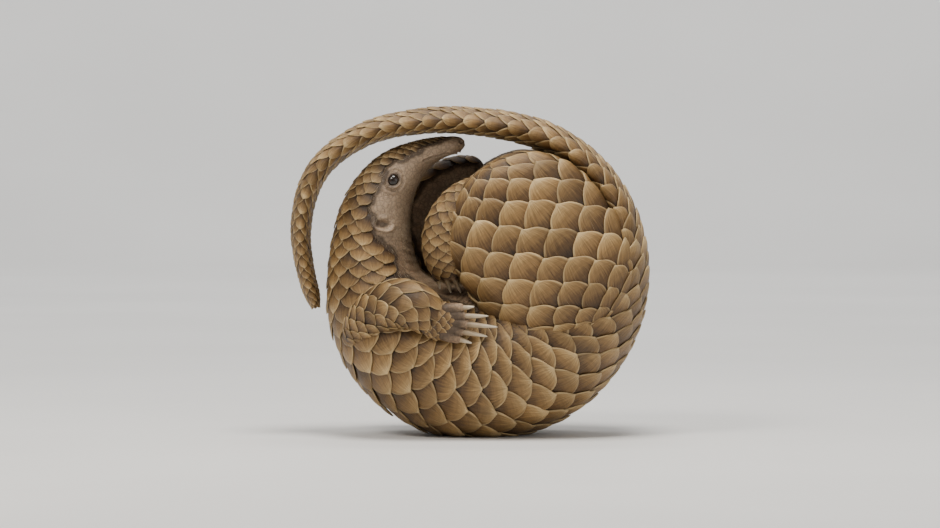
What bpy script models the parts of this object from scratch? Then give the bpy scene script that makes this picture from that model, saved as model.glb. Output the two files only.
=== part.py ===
"""A young Sunda pangolin rolled into a ball, life size, lying on its back.

Metres, +Z up. The animal is one spiral about a level line along Y, the curl line. A place on its head,
body and tail is given by a turn in degrees about that line, counterclockwise from +X as seen from -Y,
and by a share of the half girth, from 0 on the back to 1 or -1 on the belly. Its right side faces -Y.
"""

import math
import random

import bmesh
import bpy
import numpy as np
from mathutils import Matrix, Vector

MM = 0.001

# The curl line, so placed that the model's box stands on the origin
CURL_X = 4.78 * MM
CURL_Z = 73.6 * MM

TOUCH_GAP = 0.3 * MM
SIDE_RIGHT = -1
SIDE_LEFT = 1

# Turn, radius of the back, radius of the belly, half width and sideways shift, in degrees and millimetres
BODY_LINE = (
    (97.0, 59.6, 57.4, 1.3, -8.6),
    (98.0, 60.9, 56.2, 3.4, -8.6),
    (100.0, 62.0, 55.2, 5.2, -8.7),
    (108.0, 63.9, 54.0, 7.2, -9.0),
    (118.0, 66.3, 51.6, 9.8, -9.0),
    (128.0, 68.8, 47.0, 13.0, -8.8),
    (138.0, 69.8, 42.0, 16.2, -8.2),
    (150.0, 69.6, 36.4, 19.2, -7.0),
    (165.0, 68.2, 31.0, 22.0, -4.8),
    (180.0, 68.4, 26.5, 26.0, -2.4),
    (200.0, 71.6, 16.5, 34.0, 0.0),
    (225.0, 74.2, 8.5, 41.5, 0.0),
    (250.0, 75.2, 6.0, 45.0, 0.0),
    (275.0, 75.4, 5.5, 46.0, 0.0),
    (300.0, 75.3, 8.0, 45.0, 0.0),
    (325.0, 75.2, 17.0, 41.5, 0.0),
    (345.0, 75.2, 32.0, 38.8, 0.0),
    (360.0, 75.0, 46.0, 36.8, 0.0),
    (375.0, 74.8, 56.0, 34.6, 0.0),
    (395.0, 74.6, 61.4, 32.2, 0.0),
    (420.0, 73.6, 61.4, 29.8, 0.0),
    (450.0, 73.0, 62.0, 27.2, 0.0),
    (473.0, 78.6, 68.2, 25.0, 0.0),
    (492.0, 86.6, 76.8, 22.6, 0.0),
    (508.0, 91.0, 81.8, 20.0, 0.0),
    (525.0, 88.0, 79.6, 16.6, 0.0),
    (540.0, 82.6, 75.2, 12.6, 0.0),
    (549.0, 79.6, 73.6, 8.6, 0.0),
    (552.0, 78.2, 74.2, 4.0, 0.0),
)

# The nodes along the spiral: name, first turn, last turn, stations of the core
BODY_NODES = (
    ("head", 97.0, 163.0, 19),
    ("neck", 163.0, 192.0, 5),
    ("torso_shoulders", 192.0, 240.0, 6),
    ("torso_back", 240.0, 300.0, 7),
    ("torso_rump", 300.0, 356.0, 7),
    ("tail_1", 356.0, 405.0, 6),
    ("tail_2", 405.0, 450.0, 6),
    ("tail_3", 450.0, 488.0, 6),
    ("tail_4", 488.0, 522.0, 6),
    ("tail_5", 522.0, 552.0, 8),
)
CORE_SIDES = 18
CUT_OVERRUN = 8.0
CORE_DEPTH = -1.3 * MM
HEAD_CORE_DEPTH = -0.3 * MM
KEPT_SHARE = 0.33
TRUNK_TURNS = (180.0, 356.0)
TAIL_TURNS = (355.0, 549.0)

# The scute rows along the spiral: first turn, last turn, rows round the half girth, share that they reach,
# and the pitch along the back as a multiple of the space between rows
SCUTE_FIELDS = (
    (111.0, 158.0, 3, 0.37, 2.1),
    (160.0, 190.0, 4, 0.62, 1.70),
    (192.0, 352.0, 5, 0.64, 1.75),
    (357.0, 503.0, 5, 1.0, 1.65),
    (509.0, 547.0, 4, 1.0, 1.5),
)
SCUTE_RISE = 0.125
SCUTE_SINK = 3.0 * MM
SCUTE_MOST_RISE = 2.6 * MM
GUARD_LIFT = 3.7 * MM

# A scute's outline as shares of its length and width, with the lift of its upper face as a share of its rise
SCUTE_OUTLINE = (
    (-0.42, 0.0, -0.35),
    (0.04, 0.48, 0.45),
    (0.42, 0.25, 0.85),
    (0.62, 0.0, 1.0),
    (0.42, -0.25, 0.85),
    (0.04, -0.48, 0.45),
)
SCUTE_KEEL = (0.1, 0.0, 0.85)

# The thigh is one broad lobe on the flank, with the shin and foot folded in front of it, and the foreleg is a
# bent arm below. Points are in millimetres from the curl line, with Y away from the middle
HIND_HIP = (52.0, 31.0, -25.0)
HIND_KNEE = (0.0, 31.0, 47.0)
HIND_HALF_ACROSS = 36.5 * MM
HIND_HALF_OUT = 16.5 * MM
RIGHT_FOOT = ((4.0, 28.0, 38.0), (-24.0, 30.0, 24.0), (-12.0, 27.0, -2.0))
LEFT_FOOT = ((2.0, 29.0, 46.0), (-47.0, 30.0, 36.0), (-12.0, 27.0, -9.0))
FOOT_HALF_ACROSS = 10.5 * MM
FOOT_HALF_OUT = 8.5 * MM
FORE_PATH = ((-57.0, 25.0, -29.0), (-36.0, 48.0, 2.0), (-19.0, 42.0, -24.0))
FORE_HALF_ACROSS = 10.5 * MM
FORE_HALF_OUT = 9.0 * MM
FORE_PAW = (-17.5, 44.0, -20.5)
FORE_PAW_RADII = (10.5, 5.5, 8.5)
CLAW_COUNT = 5
FORE_CLAWS = (8.0, 13.0, 16.0, 13.5, 8.5)
HIND_CLAWS = (6.0, 8.0, 9.0, 8.5, 6.5)
FORE_CLAW_RADIUS = 2.1 * MM
HIND_CLAW_RADIUS = 1.9 * MM

# Places on the head as turn and share of the half girth
EYE_PLACE = (133.0, 0.5)
EYE_RADIUS = 3.3 * MM
EYE_DEPTH = 1.7 * MM
EAR_PLACE = (153.0, 0.56)
EAR_RADII = (3.6, 5.4, 2.4)
NOSTRIL_PLACE = (98.6, 0.42)
NOSTRIL_RADIUS = 1.0 * MM
MOUTH_LINE = ((117.0, 0.60), (111.0, 0.65), (105.5, 0.71), (101.8, 0.83), (100.6, 0.93))
LIP_RADIUS = 1.2 * MM
MOUTH_RADIUS = 0.6 * MM

SKIN_GREY = (0.36, 0.30, 0.25, 1.0)
SCALE_TAN = (0.42, 0.31, 0.18, 1.0)
EYE_BLACK = (0.02, 0.015, 0.012, 1.0)


def clear_scene():
    for obj in list(bpy.data.objects):
        bpy.data.objects.remove(obj, do_unlink=True)


def material(name, colour, roughness):
    made = bpy.data.materials.new(name)
    made.use_nodes = True
    shader = made.node_tree.nodes["Principled BSDF"]
    shader.inputs["Base Color"].default_value = colour
    shader.inputs["Roughness"].default_value = roughness
    shader.inputs["Metallic"].default_value = 0.0
    return made


def smooth(rows, at):
    """The columns after the first, on a smooth curve through the rows, at values of the first column."""
    rows = np.asarray(rows, float)
    at = np.atleast_1d(np.asarray(at, float))
    knots, values = rows[:, 0], rows[:, 1:]
    slopes = np.gradient(values, knots, axis=0)
    low = np.clip(np.searchsorted(knots, at) - 1, 0, len(knots) - 2)
    span = (knots[low + 1] - knots[low])[:, None]
    u = np.clip((at[:, None] - knots[low][:, None]) / span, 0.0, 1.0)
    return (
        (2 * u**3 - 3 * u**2 + 1) * values[low]
        + (u**3 - 2 * u**2 + u) * span * slopes[low]
        + (3 * u**2 - 2 * u**3) * values[low + 1]
        + (u**3 - u**2) * span * slopes[low + 1]
    )


def body_frame(turn):
    """Centre, outward and sideways directions, half depth and half width of the body's section at a turn."""
    back, belly, half_width, shift = smooth(BODY_LINE, turn).T * MM
    angle = np.radians(np.atleast_1d(turn))
    nothing = np.zeros_like(angle)
    out = np.stack([np.cos(angle), nothing, np.sin(angle)], axis=1)
    middle = (back + belly)[:, None] / 2
    centre = out * middle + np.stack([nothing, shift, nothing], axis=1)
    centre += np.array([CURL_X, 0.0, CURL_Z])
    across = np.tile([0.0, 1.0, 0.0], (len(angle), 1))
    return centre, out, across, (back - belly) / 2, half_width


def limb_frame(path, outward, half_out, half_across, fullness):
    """A frame function for a limb along a bent path, with round ends, from 0 at its root to 1 at its end."""
    start, bend, end = (np.asarray(p, float) for p in path)

    def frame(t):
        t = np.atleast_1d(np.asarray(t, float))
        u = t[:, None]
        centre = (1 - u) ** 2 * start + 2 * u * (1 - u) * bend + u**2 * end
        along = 2 * (1 - u) * (bend - start) + 2 * u * (end - bend)
        along /= np.linalg.norm(along, axis=1)[:, None]
        out = outward - along * (along @ outward)[:, None]
        out /= np.linalg.norm(out, axis=1)[:, None]
        across = np.cross(along, out)
        swell = (1 - np.minimum(np.abs(2 * t - 1), 0.999) ** fullness) ** (1 / fullness)
        return centre, out, across, half_out * swell, half_across * swell

    return frame


def angle_at_share(half_depth, half_width, share):
    """The section angle that lies at a share of the half girth of an ellipse, from its back."""
    grid = np.linspace(0.0, math.pi, 61)
    depth = half_depth[:, None] * np.cos(grid)
    width = half_width[:, None] * np.sin(grid)
    step = np.hypot(np.diff(depth, axis=1), np.diff(width, axis=1))
    run = np.concatenate([np.zeros((len(step), 1)), np.cumsum(step, axis=1)], axis=1)
    wanted = np.minimum(np.abs(share), 1.0) * run[:, -1]
    low = np.clip((run < wanted[:, None]).sum(axis=1) - 1, 0, len(grid) - 2)
    row = np.arange(len(low))
    part = (wanted - run[row, low]) / np.maximum(run[row, low + 1] - run[row, low], 1e-12)
    return np.sign(share) * (grid[low] + part * (grid[1] - grid[0]))


def surface(frame, t, share, lift, shrink=1.0):
    """Points at a share of the half girth of the shrunk section, lifted square to its outline."""
    t, share, lift = np.broadcast_arrays(*(np.asarray(v, float) for v in (t, share, lift)))
    t, share, lift = t.ravel(), share.ravel(), lift.ravel()
    centre, out, across, half_depth, half_width = frame(t)
    half_depth, half_width = half_depth * shrink, half_width * shrink
    share = (share + 1.0) % 2.0 - 1.0
    angle = angle_at_share(half_depth, half_width, share)
    normal = np.stack([np.cos(angle) / half_depth, np.sin(angle) / half_width], axis=1)
    normal /= np.linalg.norm(normal, axis=1)[:, None]
    outward = half_depth * np.cos(angle) + lift * normal[:, 0]
    sideways = half_width * np.sin(angle) + lift * normal[:, 1]
    return centre + out * outward[:, None] + across * sideways[:, None]


def half_girth(frame, t):
    half_depth, half_width = (float(v[0]) for v in frame(t)[3:])
    mean = math.sqrt((half_depth**2 + half_width**2) / 2)
    return math.pi * mean * 0.985


def solid_object(name, shape):
    """An object with this closed shape in triangles, its faces turned to point out."""
    bmesh.ops.recalc_face_normals(shape, faces=shape.faces)
    bmesh.ops.triangulate(shape, faces=shape.faces)
    mesh = bpy.data.meshes.new(name)
    shape.to_mesh(mesh)
    shape.free()
    return bpy.data.objects.new(name, mesh)


def closed_mesh(name, points, faces):
    """An object made from these points and faces."""
    shape = bmesh.new()
    verts = [shape.verts.new(point) for point in points]
    for face in faces:
        shape.faces.new([verts[i] for i in face])
    return solid_object(name, shape)


def lofted(name, frame, stations, sides, lift=0.0, belly_lift=None):
    """A closed loft of the frame's sections, with lift added all round or eased to belly_lift on the belly."""
    shares = np.arange(sides) * 2.0 / sides - 1.0
    belly_lift = lift if belly_lift is None else belly_lift
    on_belly = np.clip((np.abs(shares) - 0.7) / 0.1, 0.0, 1.0)
    lifts = lift + (belly_lift - lift) * on_belly
    grid_t, grid_share = np.meshgrid(stations, shares, indexing="ij")
    points = surface(frame, grid_t, grid_share, np.tile(lifts, len(stations)).reshape(grid_t.shape))
    faces = []
    for i in range(len(stations) - 1):
        for j in range(sides):
            k = (j + 1) % sides
            faces.append((i * sides + j, i * sides + k, (i + 1) * sides + k, (i + 1) * sides + j))
    faces.append(tuple(range(sides)))
    faces.append(tuple((len(stations) - 1) * sides + j for j in range(sides)))
    return closed_mesh(name, points, faces)


def scute(frame, t, share, length, width, rise, t_per_metre):
    """One closed plate: its root and underside are sunk in the core, and its tip stands a rise above it."""
    girth = half_girth(frame, t)
    rows = np.array(SCUTE_OUTLINE + (SCUTE_KEEL,))
    at = t + rows[:, 0] * length * t_per_metre
    aside = share + rows[:, 1] * width / girth
    top = surface(frame, at, aside, rows[:, 2] * rise)
    shrink = 1.0 - min(SCUTE_SINK / float(frame(t)[3][0]), 0.45)
    under = surface(frame, at[:-1], aside[:-1], 0.0, shrink)
    count = len(SCUTE_OUTLINE)
    keel = count
    faces = [(i, (i + 1) % count, keel) for i in range(count)]
    for i in range(count):
        k = (i + 1) % count
        faces.append((i, k, count + 1 + k, count + 1 + i))
    faces.append(tuple(count + 1 + i for i in range(count)))
    return closed_mesh("scute", np.concatenate([top, under]), faces)


def body_scutes():
    """Every scute of the spiral, with the turns where each begins and ends."""
    draw = random.Random(7)
    made = []
    for first, last, rows, reach, stretch in SCUTE_FIELDS:
        spacing = reach / rows if reach < 1.0 else 1.0 / rows
        turn, row = first, 0
        while turn < last:
            back = float(smooth(BODY_LINE, turn)[0, 0]) * MM
            gap = spacing * half_girth(body_frame, turn)
            pitch = stretch * gap
            t_per_metre = math.degrees(1.0 / back)
            columns = range(-rows, rows + 1)
            for column in columns:
                if (column + row) % 2 or (reach == 1.0 and column == -rows):
                    continue
                length = pitch * draw.uniform(0.97, 1.03)
                width = 2 * gap * draw.uniform(1.0, 1.06)
                rise = min(SCUTE_RISE * length, SCUTE_MOST_RISE) * draw.uniform(0.9, 1.1)
                share = column * spacing
                made.append((turn, share, length, width, rise, t_per_metre))
            turn += pitch / 2 * t_per_metre
            row += 1
    return made


def applied(obj, operation, others, solver="MANIFOLD"):
    """The object after one Boolean with these closed meshes, which are then removed."""
    pieces = bpy.data.collections.new("pieces")
    bpy.context.scene.collection.children.link(pieces)
    for other in others:
        pieces.objects.link(other)
    bpy.context.scene.collection.objects.link(obj)
    change = obj.modifiers.new(operation.lower(), "BOOLEAN")
    change.operation = operation
    change.operand_type = "COLLECTION"
    change.collection = pieces
    change.solver = solver
    bpy.context.view_layer.update()
    graph = bpy.context.evaluated_depsgraph_get()
    mesh = bpy.data.meshes.new_from_object(obj.evaluated_get(graph))
    obj.modifiers.clear()
    shape = bmesh.new()
    shape.from_mesh(mesh)
    bmesh.ops.triangulate(shape, faces=shape.faces)
    shape.to_mesh(mesh)
    shape.free()
    obj.data = mesh
    bpy.context.scene.collection.objects.unlink(obj)
    for other in list(pieces.objects):
        bpy.data.objects.remove(other, do_unlink=True)
    bpy.data.collections.remove(pieces)
    return obj


def keep_largest(obj):
    """Leaves only the closed surface with the most volume."""
    shape = bmesh.new()
    shape.from_mesh(obj.data)
    bmesh.ops.triangulate(shape, faces=shape.faces)
    waiting = set(shape.verts)
    groups = []
    while waiting:
        group, edge = set(), [waiting.pop()]
        while edge:
            vert = edge.pop()
            group.add(vert)
            for link in vert.link_edges:
                other = link.other_vert(vert)
                if other in waiting:
                    waiting.remove(other)
                    edge.append(other)
        groups.append(group)

    def volume(group):
        faces = {face for vert in group for face in vert.link_faces}
        return sum(f.verts[0].co.dot(f.verts[1].co.cross(f.verts[2].co)) for f in faces)

    groups.sort(key=volume)
    spare = [vert for group in groups[:-1] for vert in group]
    bmesh.ops.delete(shape, geom=spare, context="VERTS")
    shape.to_mesh(obj.data)
    shape.free()
    return obj


def thin_out(obj, share):
    """Leaves this share of the triangles, with the smallest change of shape."""
    bpy.context.scene.collection.objects.link(obj)
    change = obj.modifiers.new("thin_out", "DECIMATE")
    change.ratio = share
    bpy.context.view_layer.update()
    graph = bpy.context.evaluated_depsgraph_get()
    mesh = bpy.data.meshes.new_from_object(obj.evaluated_get(graph))
    obj.modifiers.clear()
    obj.data = mesh
    bpy.context.scene.collection.objects.unlink(obj)


def half_space(turn, direction):
    """A large box that holds all beyond the radial plane at a turn, less half the touching gap."""
    size = 0.3
    angle = math.radians(turn)
    along = Vector((-math.sin(angle), 0.0, math.cos(angle))) * direction
    out = Vector((math.cos(angle), 0.0, math.sin(angle)))
    shape = bmesh.new()
    bmesh.ops.create_cube(shape, size=size)
    frame = Matrix((out, along, out.cross(along))).transposed().to_4x4()
    centre = Vector((CURL_X, 0.0, CURL_Z)) + along * (size / 2 - TOUCH_GAP / 2)
    bmesh.ops.transform(shape, matrix=Matrix.Translation(centre) @ frame, verts=shape.verts)
    return solid_object("half_space", shape)


def floor_block():
    """A block whose top is the floor."""
    size = 0.4
    shape = bmesh.new()
    bmesh.ops.create_cube(shape, size=size, matrix=Matrix.Translation((0.0, 0.0, -size / 2)))
    return solid_object("floor_block", shape)


def ellipsoid(name, centre, radii, turn_matrix=None, segments=16, rings=10):
    """A closed ellipsoid with half axes along the turned X, Y and Z."""
    shape = bmesh.new()
    matrix = Matrix.Translation(centre) @ (turn_matrix or Matrix.Identity(3)).to_4x4() @ Matrix.Diagonal(
        (*radii, 1.0)
    )
    bmesh.ops.create_uvsphere(shape, u_segments=segments, v_segments=rings, radius=1.0, matrix=matrix)
    return solid_object(name, shape)


def tapered_tube(name, points, radii, resolution=1):
    """A closed tube through the points, as thick as the radii say."""
    curve = bpy.data.curves.new(name, "CURVE")
    curve.dimensions = "3D"
    curve.bevel_depth = 1.0
    curve.bevel_resolution = resolution
    curve.use_fill_caps = True
    spline = curve.splines.new("POLY")
    spline.points.add(len(points) - 1)
    for knot, point, radius in zip(spline.points, points, radii):
        knot.co = (*point, 1.0)
        knot.radius = radius
    tube = bpy.data.objects.new(name, curve)
    bpy.context.scene.collection.objects.link(tube)
    bpy.context.view_layer.update()
    mesh = bpy.data.meshes.new_from_object(tube.evaluated_get(bpy.context.evaluated_depsgraph_get()))
    bpy.data.objects.remove(tube, do_unlink=True)
    shape = bmesh.new()
    shape.from_mesh(mesh)
    bmesh.ops.remove_doubles(shape, verts=shape.verts, dist=0.01 * MM)
    return solid_object(name, shape)


def place(obj, parent, surface_material):
    """Puts a finished node in the model's collection with its material."""
    obj.data.materials.clear()
    obj.data.materials.append(surface_material)
    obj.data.shade_smooth()
    obj.data.set_sharp_from_angle(angle=math.radians(35.0))
    obj.parent = parent
    bpy.data.collections["pangolin"].objects.link(obj)
    return obj


def limb_point(point, side):
    """A point given in millimetres from the curl line, with Y away from the middle."""
    return Vector((CURL_X + point[0] * MM, point[1] * MM * side, CURL_Z + point[2] * MM))


def hind_frame(side):
    hip, knee = limb_point(HIND_HIP, side), limb_point(HIND_KNEE, side)
    path = (hip, (hip + knee) / 2, knee)
    return limb_frame(path, np.array([0.0, side, 0.0]), HIND_HALF_OUT, HIND_HALF_ACROSS, 2.3)


def foot_frame(side):
    path = [limb_point(p, side) for p in (RIGHT_FOOT if side == SIDE_RIGHT else LEFT_FOOT)]
    return limb_frame(path, np.array([0.0, side, 0.0]), FOOT_HALF_OUT, FOOT_HALF_ACROSS, 3.2)


def fore_frame(side):
    path = [limb_point(p, side) for p in FORE_PATH]
    return limb_frame(path, np.array([0.0, side, 0.0]), FORE_HALF_OUT, FORE_HALF_ACROSS, 3.0)


def round_ended(count):
    """Stations from 0 to 1, closer together toward both ends."""
    return (1 - np.cos(np.pi * np.arange(count) / (count - 1))) / 2


def limb_scutes(frame, length, first, last, rows, reach, seed):
    """Plates in offset rows on the outer side of a limb, with their tips toward its end."""
    draw = random.Random(seed)
    made = []
    spacing = reach / rows
    pitch = 1.75 * spacing * half_girth(frame, 0.5)
    for row in range(int((last - first) * length / (pitch / 2))):
        t = first + row * pitch / 2 / length
        width = 2 * spacing * half_girth(frame, t)
        for column in range(-rows, rows + 1):
            if (column + row) % 2:
                continue
            long = pitch * draw.uniform(0.97, 1.03)
            rise = min(SCUTE_RISE * long, SCUTE_MOST_RISE) * draw.uniform(0.9, 1.1)
            made.append(scute(frame, t, column * spacing, long, width * 0.97, rise, 1.0 / length))
    return made


def guard(turns, lift, belly_lift):
    """A smooth loft that holds the core and the scutes of the spiral between two turns."""
    stations = np.arange(turns[0], turns[1], 8.0)
    return lofted("guard", body_frame, stations, 24, lift, belly_lift)


def claws(root, toward, across, out, lengths, radius, spread, bend, more=0.0):
    """Claws side by side at the end of a foot, with their points bent back from the out direction."""
    made = []
    for i in range(CLAW_COUNT):
        aside = (i / (CLAW_COUNT - 1) - 0.5) * spread
        length = lengths[i] * MM
        base = root + across * aside - toward * abs(aside) * 0.45
        heading = (toward + across * aside * 30.0).normalized()
        points, radii = [], []
        for step in (-0.2, 0.3, 0.7, 1.0):
            points.append(base + heading * length * step - out * length * bend * max(step, 0.0) ** 2)
            radii.append(radius * (1.0 - 0.8 * max(step, 0.0) ** 1.5) + more)
        made.append(tapered_tube("claw", points, radii))
    return made


def surface_axes(frame, t, share):
    """The surface point at a place, with unit vectors along, aside and out of the surface."""
    step = 1e-3
    point, ahead = (Vector(surface(frame, at, share, 0.0)[0]) for at in (t, t + step * 60))
    beside = Vector(surface(frame, t, share + step, 0.0)[0])
    along = (ahead - point).normalized()
    aside = (beside - point).normalized()
    out = (Vector(surface(frame, t, share, MM)[0]) - point).normalized()
    out = (out - along * out.dot(along)).normalized()
    return point, along, out.cross(along) * (1 if out.cross(along).dot(aside) > 0 else -1), out


def head_lumps_and_cuts():
    """What the face adds to the head, what it takes away, and the eyes and ears that fill the places made."""
    lumps, cuts, extra = [], [], {}
    for side, word in ((SIDE_RIGHT, "right"), (SIDE_LEFT, "left")):
        point, along, aside, out = surface_axes(body_frame, EYE_PLACE[0], EYE_PLACE[1] * side)
        axes = Matrix((along, aside, out)).transposed()
        lids = ellipsoid("lids", point - out * 0.4 * MM, (5.0 * MM, 4.1 * MM, 1.9 * MM), axes, 12, 6)
        lumps.append(lids)
        middle = point - out * EYE_DEPTH
        radius = EYE_RADIUS
        cuts.append(ellipsoid("socket", middle, (radius + TOUCH_GAP,) * 3, axes, 12, 8))
        extra["eye_" + word] = ellipsoid("eye", middle, (radius,) * 3, axes, 12, 8)

        point, along, aside, out = surface_axes(body_frame, EAR_PLACE[0], EAR_PLACE[1] * side)
        axes = Matrix((along, aside, out)).transposed()
        radii = Vector(EAR_RADII) * MM
        middle = point + out * 0.5 * MM
        wider = radii + Vector((TOUCH_GAP,) * 3)
        cuts.append(ellipsoid("ear_seat", middle, wider, axes, 12, 6))
        cup = ellipsoid("cup", middle - along * 0.9 * MM + out * 1.7 * MM, radii * 0.78, axes, 12, 6)
        ear = ellipsoid("ear", middle, radii, axes, 12, 6)
        extra["ear_" + word] = applied(ear, "DIFFERENCE", [cup])

        nostril = Vector(surface(body_frame, NOSTRIL_PLACE[0], NOSTRIL_PLACE[1] * side, 0.0)[0])
        cuts.append(ellipsoid("nostril", nostril, (NOSTRIL_RADIUS,) * 3, None, 8, 6))

    line = [(turn, -share) for turn, share in MOUTH_LINE] + list(reversed(MOUTH_LINE))
    path = [Vector(surface(body_frame, turn, share, 0.0)[0]) for turn, share in line]
    thin = [0.5 if i in (0, len(line) - 1) else 1.0 for i in range(len(line))]
    lumps.append(tapered_tube("lips", path, [LIP_RADIUS * t for t in thin]))
    lip_lift = 0.75 * MM
    groove = [Vector(surface(body_frame, turn, share, lip_lift)[0]) for turn, share in line]
    cuts.append(tapered_tube("mouth", groove, [MOUTH_RADIUS] * len(line)))
    return lumps, cuts, extra


def fore_paw(side, more=0.0):
    radii = [r * MM + more for r in FORE_PAW_RADII]
    return ellipsoid("paw", limb_point(FORE_PAW, side), radii, None, 14, 8)


def fore_claws(side, more=0.0):
    toward = Vector((1.0, 0.0, -0.1)).normalized()
    across = Vector((toward.z, 0.0, -toward.x))
    out = Vector((0.0, side, 0.0))
    root = limb_point(FORE_PAW, side) + toward * (FORE_PAW_RADII[0] - 1.5) * MM + out * 2.5 * MM
    return claws(root, toward, across, out, FORE_CLAWS, FORE_CLAW_RADIUS, 13.0 * MM, 0.08, more)


def hind_claws(side, more=0.0):
    start, end = (limb_point(p, side) for p in (RIGHT_FOOT if side == SIDE_RIGHT else LEFT_FOOT)[1:])
    toward = (end - start).normalized()
    across = Vector((toward.z, 0.0, -toward.x))
    out = Vector((0.0, side, 0.0))
    root = end - toward * 1.5 * MM
    return claws(root, toward, across, out, HIND_CLAWS, HIND_CLAW_RADIUS, 13.0 * MM, 0.3, more)


def limb_core(frame, lift=0.0, sides=16, stations=9):
    return lofted("limb", frame, round_ended(stations), sides, lift)


def main():
    clear_scene()
    bpy.context.scene.collection.children.link(bpy.data.collections.new("pangolin"))
    root = bpy.data.objects.new("curl", None)
    bpy.data.collections["pangolin"].objects.link(root)
    scales = material("scales", SCALE_TAN, 0.55)
    skin = material("skin", SKIN_GREY, 0.7)
    eye_black = material("eye", EYE_BLACK, 0.15)

    plates = body_scutes()
    lumps, face_cuts, face_parts = head_lumps_and_cuts()
    for name, first, last, stations in BODY_NODES:
        begins = first if name == "head" else first - CUT_OVERRUN
        ends = last if name == "tail_5" else last + CUT_OVERRUN
        bare = CORE_DEPTH if name.startswith("tail") else 0.0
        depth = HEAD_CORE_DEPTH if name == "head" else CORE_DEPTH
        core = lofted("core", body_frame, np.linspace(begins, ends, stations), CORE_SIDES, depth, bare)
        near = [
            plate
            for plate in plates
            if plate[0] - 0.36 * plate[2] * plate[5] < last and plate[0] + 0.66 * plate[2] * plate[5] > first
        ]
        pieces = [scute(body_frame, *plate) for plate in near]
        cutters = [floor_block()]
        if name == "head":
            pieces += lumps
            cutters += face_cuts
        else:
            cutters.append(half_space(first, -1))
        if name != "tail_5":
            cutters.append(half_space(last, 1))
        if name in ("neck", "torso_shoulders", "torso_back"):
            for side in (SIDE_RIGHT, SIDE_LEFT):
                cutters.append(limb_core(fore_frame(side), TOUCH_GAP, 14, 9))
                cutters.append(fore_paw(side, TOUCH_GAP))
                cutters.append(limb_core(foot_frame(side), TOUCH_GAP, 12, 9))
                cutters += hind_claws(side, TOUCH_GAP) + fore_claws(side, TOUCH_GAP)
        if name in ("torso_back", "torso_rump"):
            for side in (SIDE_RIGHT, SIDE_LEFT):
                cutters.append(limb_core(hind_frame(side), TOUCH_GAP))
        node = applied(core, "UNION", pieces)
        thin_out(node, KEPT_SHARE)
        node = keep_largest(applied(node, "DIFFERENCE", cutters))
        node.name = name
        place(node, root, scales)
        print(name, len(near), "scutes", len(node.data.polygons), "triangles")

    for name, part in face_parts.items():
        part.name = name
        place(keep_largest(part), root, eye_black if name.startswith("eye") else skin)

    for side, word in ((SIDE_RIGHT, "right"), (SIDE_LEFT, "left")):
        frame = hind_frame(side)
        length = (limb_point(HIND_HIP, side) - limb_point(HIND_KNEE, side)).length
        plates = limb_scutes(frame, length, 0.2, 0.86, 3, 0.42, 11)
        fringe = applied(plates[0], "UNION", plates[1:])
        thin_out(fringe, KEPT_SHARE)
        fringe = applied(fringe, "DIFFERENCE", [guard(TRUNK_TURNS, GUARD_LIFT, -TOUCH_GAP)])
        leg = applied(limb_core(frame, CORE_DEPTH), "UNION", [fringe])
        foot = limb_core(foot_frame(side), 0.0, 12, 9)
        socket = limb_core(foot_frame(side), TOUCH_GAP, 12, 9)
        seats = [guard(TAIL_TURNS, GUARD_LIFT, GUARD_LIFT), socket] + hind_claws(side, TOUCH_GAP)
        leg = applied(leg, "DIFFERENCE", seats)
        leg = keep_largest(leg)
        leg.name = "hindleg_" + word
        place(leg, root, scales)
        foot = applied(foot, "UNION", hind_claws(side))
        foot.name = "hindfoot_" + word
        place(keep_largest(foot), root, skin)

        frame = fore_frame(side)
        length = 0.062
        plates = limb_scutes(frame, length, 0.2, 0.62, 2, 0.44, 12)
        fringe = applied(plates[0], "UNION", plates[1:])
        thin_out(fringe, KEPT_SHARE)
        fringe = applied(fringe, "DIFFERENCE", [guard(TRUNK_TURNS, GUARD_LIFT, -TOUCH_GAP)])
        leg = applied(limb_core(frame, 0.0, 14, 9), "UNION", [fringe, fore_paw(side)])
        leg = applied(leg, "UNION", fore_claws(side))
        leg.name = "foreleg_" + word
        place(keep_largest(leg), root, scales)


main()
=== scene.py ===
"""Looks of a young Sunda pangolin rolled into a ball: skin, overlapping horn plates, claws, eyes and hair.

Metres, +Z up, in the frame of the solids. As in the solids, a place on the animal is a turn in degrees about
the curl line and a share of the half girth, from 0 on the back to 1 or -1 on the belly.
"""

import math
from collections import namedtuple

import bmesh
import bpy
import numpy as np
from mathutils import Matrix, Vector
from mathutils.kdtree import KDTree


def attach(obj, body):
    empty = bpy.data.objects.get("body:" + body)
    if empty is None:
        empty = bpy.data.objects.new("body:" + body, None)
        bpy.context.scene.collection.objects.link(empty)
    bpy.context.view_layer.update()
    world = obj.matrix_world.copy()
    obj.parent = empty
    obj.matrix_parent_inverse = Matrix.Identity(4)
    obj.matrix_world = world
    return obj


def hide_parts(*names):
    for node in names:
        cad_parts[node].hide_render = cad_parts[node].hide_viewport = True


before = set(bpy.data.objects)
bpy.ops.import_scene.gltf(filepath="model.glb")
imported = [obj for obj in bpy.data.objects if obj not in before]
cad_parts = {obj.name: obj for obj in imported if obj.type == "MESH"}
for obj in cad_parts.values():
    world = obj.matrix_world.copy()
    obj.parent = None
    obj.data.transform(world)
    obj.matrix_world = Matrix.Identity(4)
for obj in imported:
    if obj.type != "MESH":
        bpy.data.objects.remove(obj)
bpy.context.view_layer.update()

MM = 0.001
CURL_X = 4.78 * MM
CURL_Z = 73.6 * MM
RIGHT = -1
LEFT = 1

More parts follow.
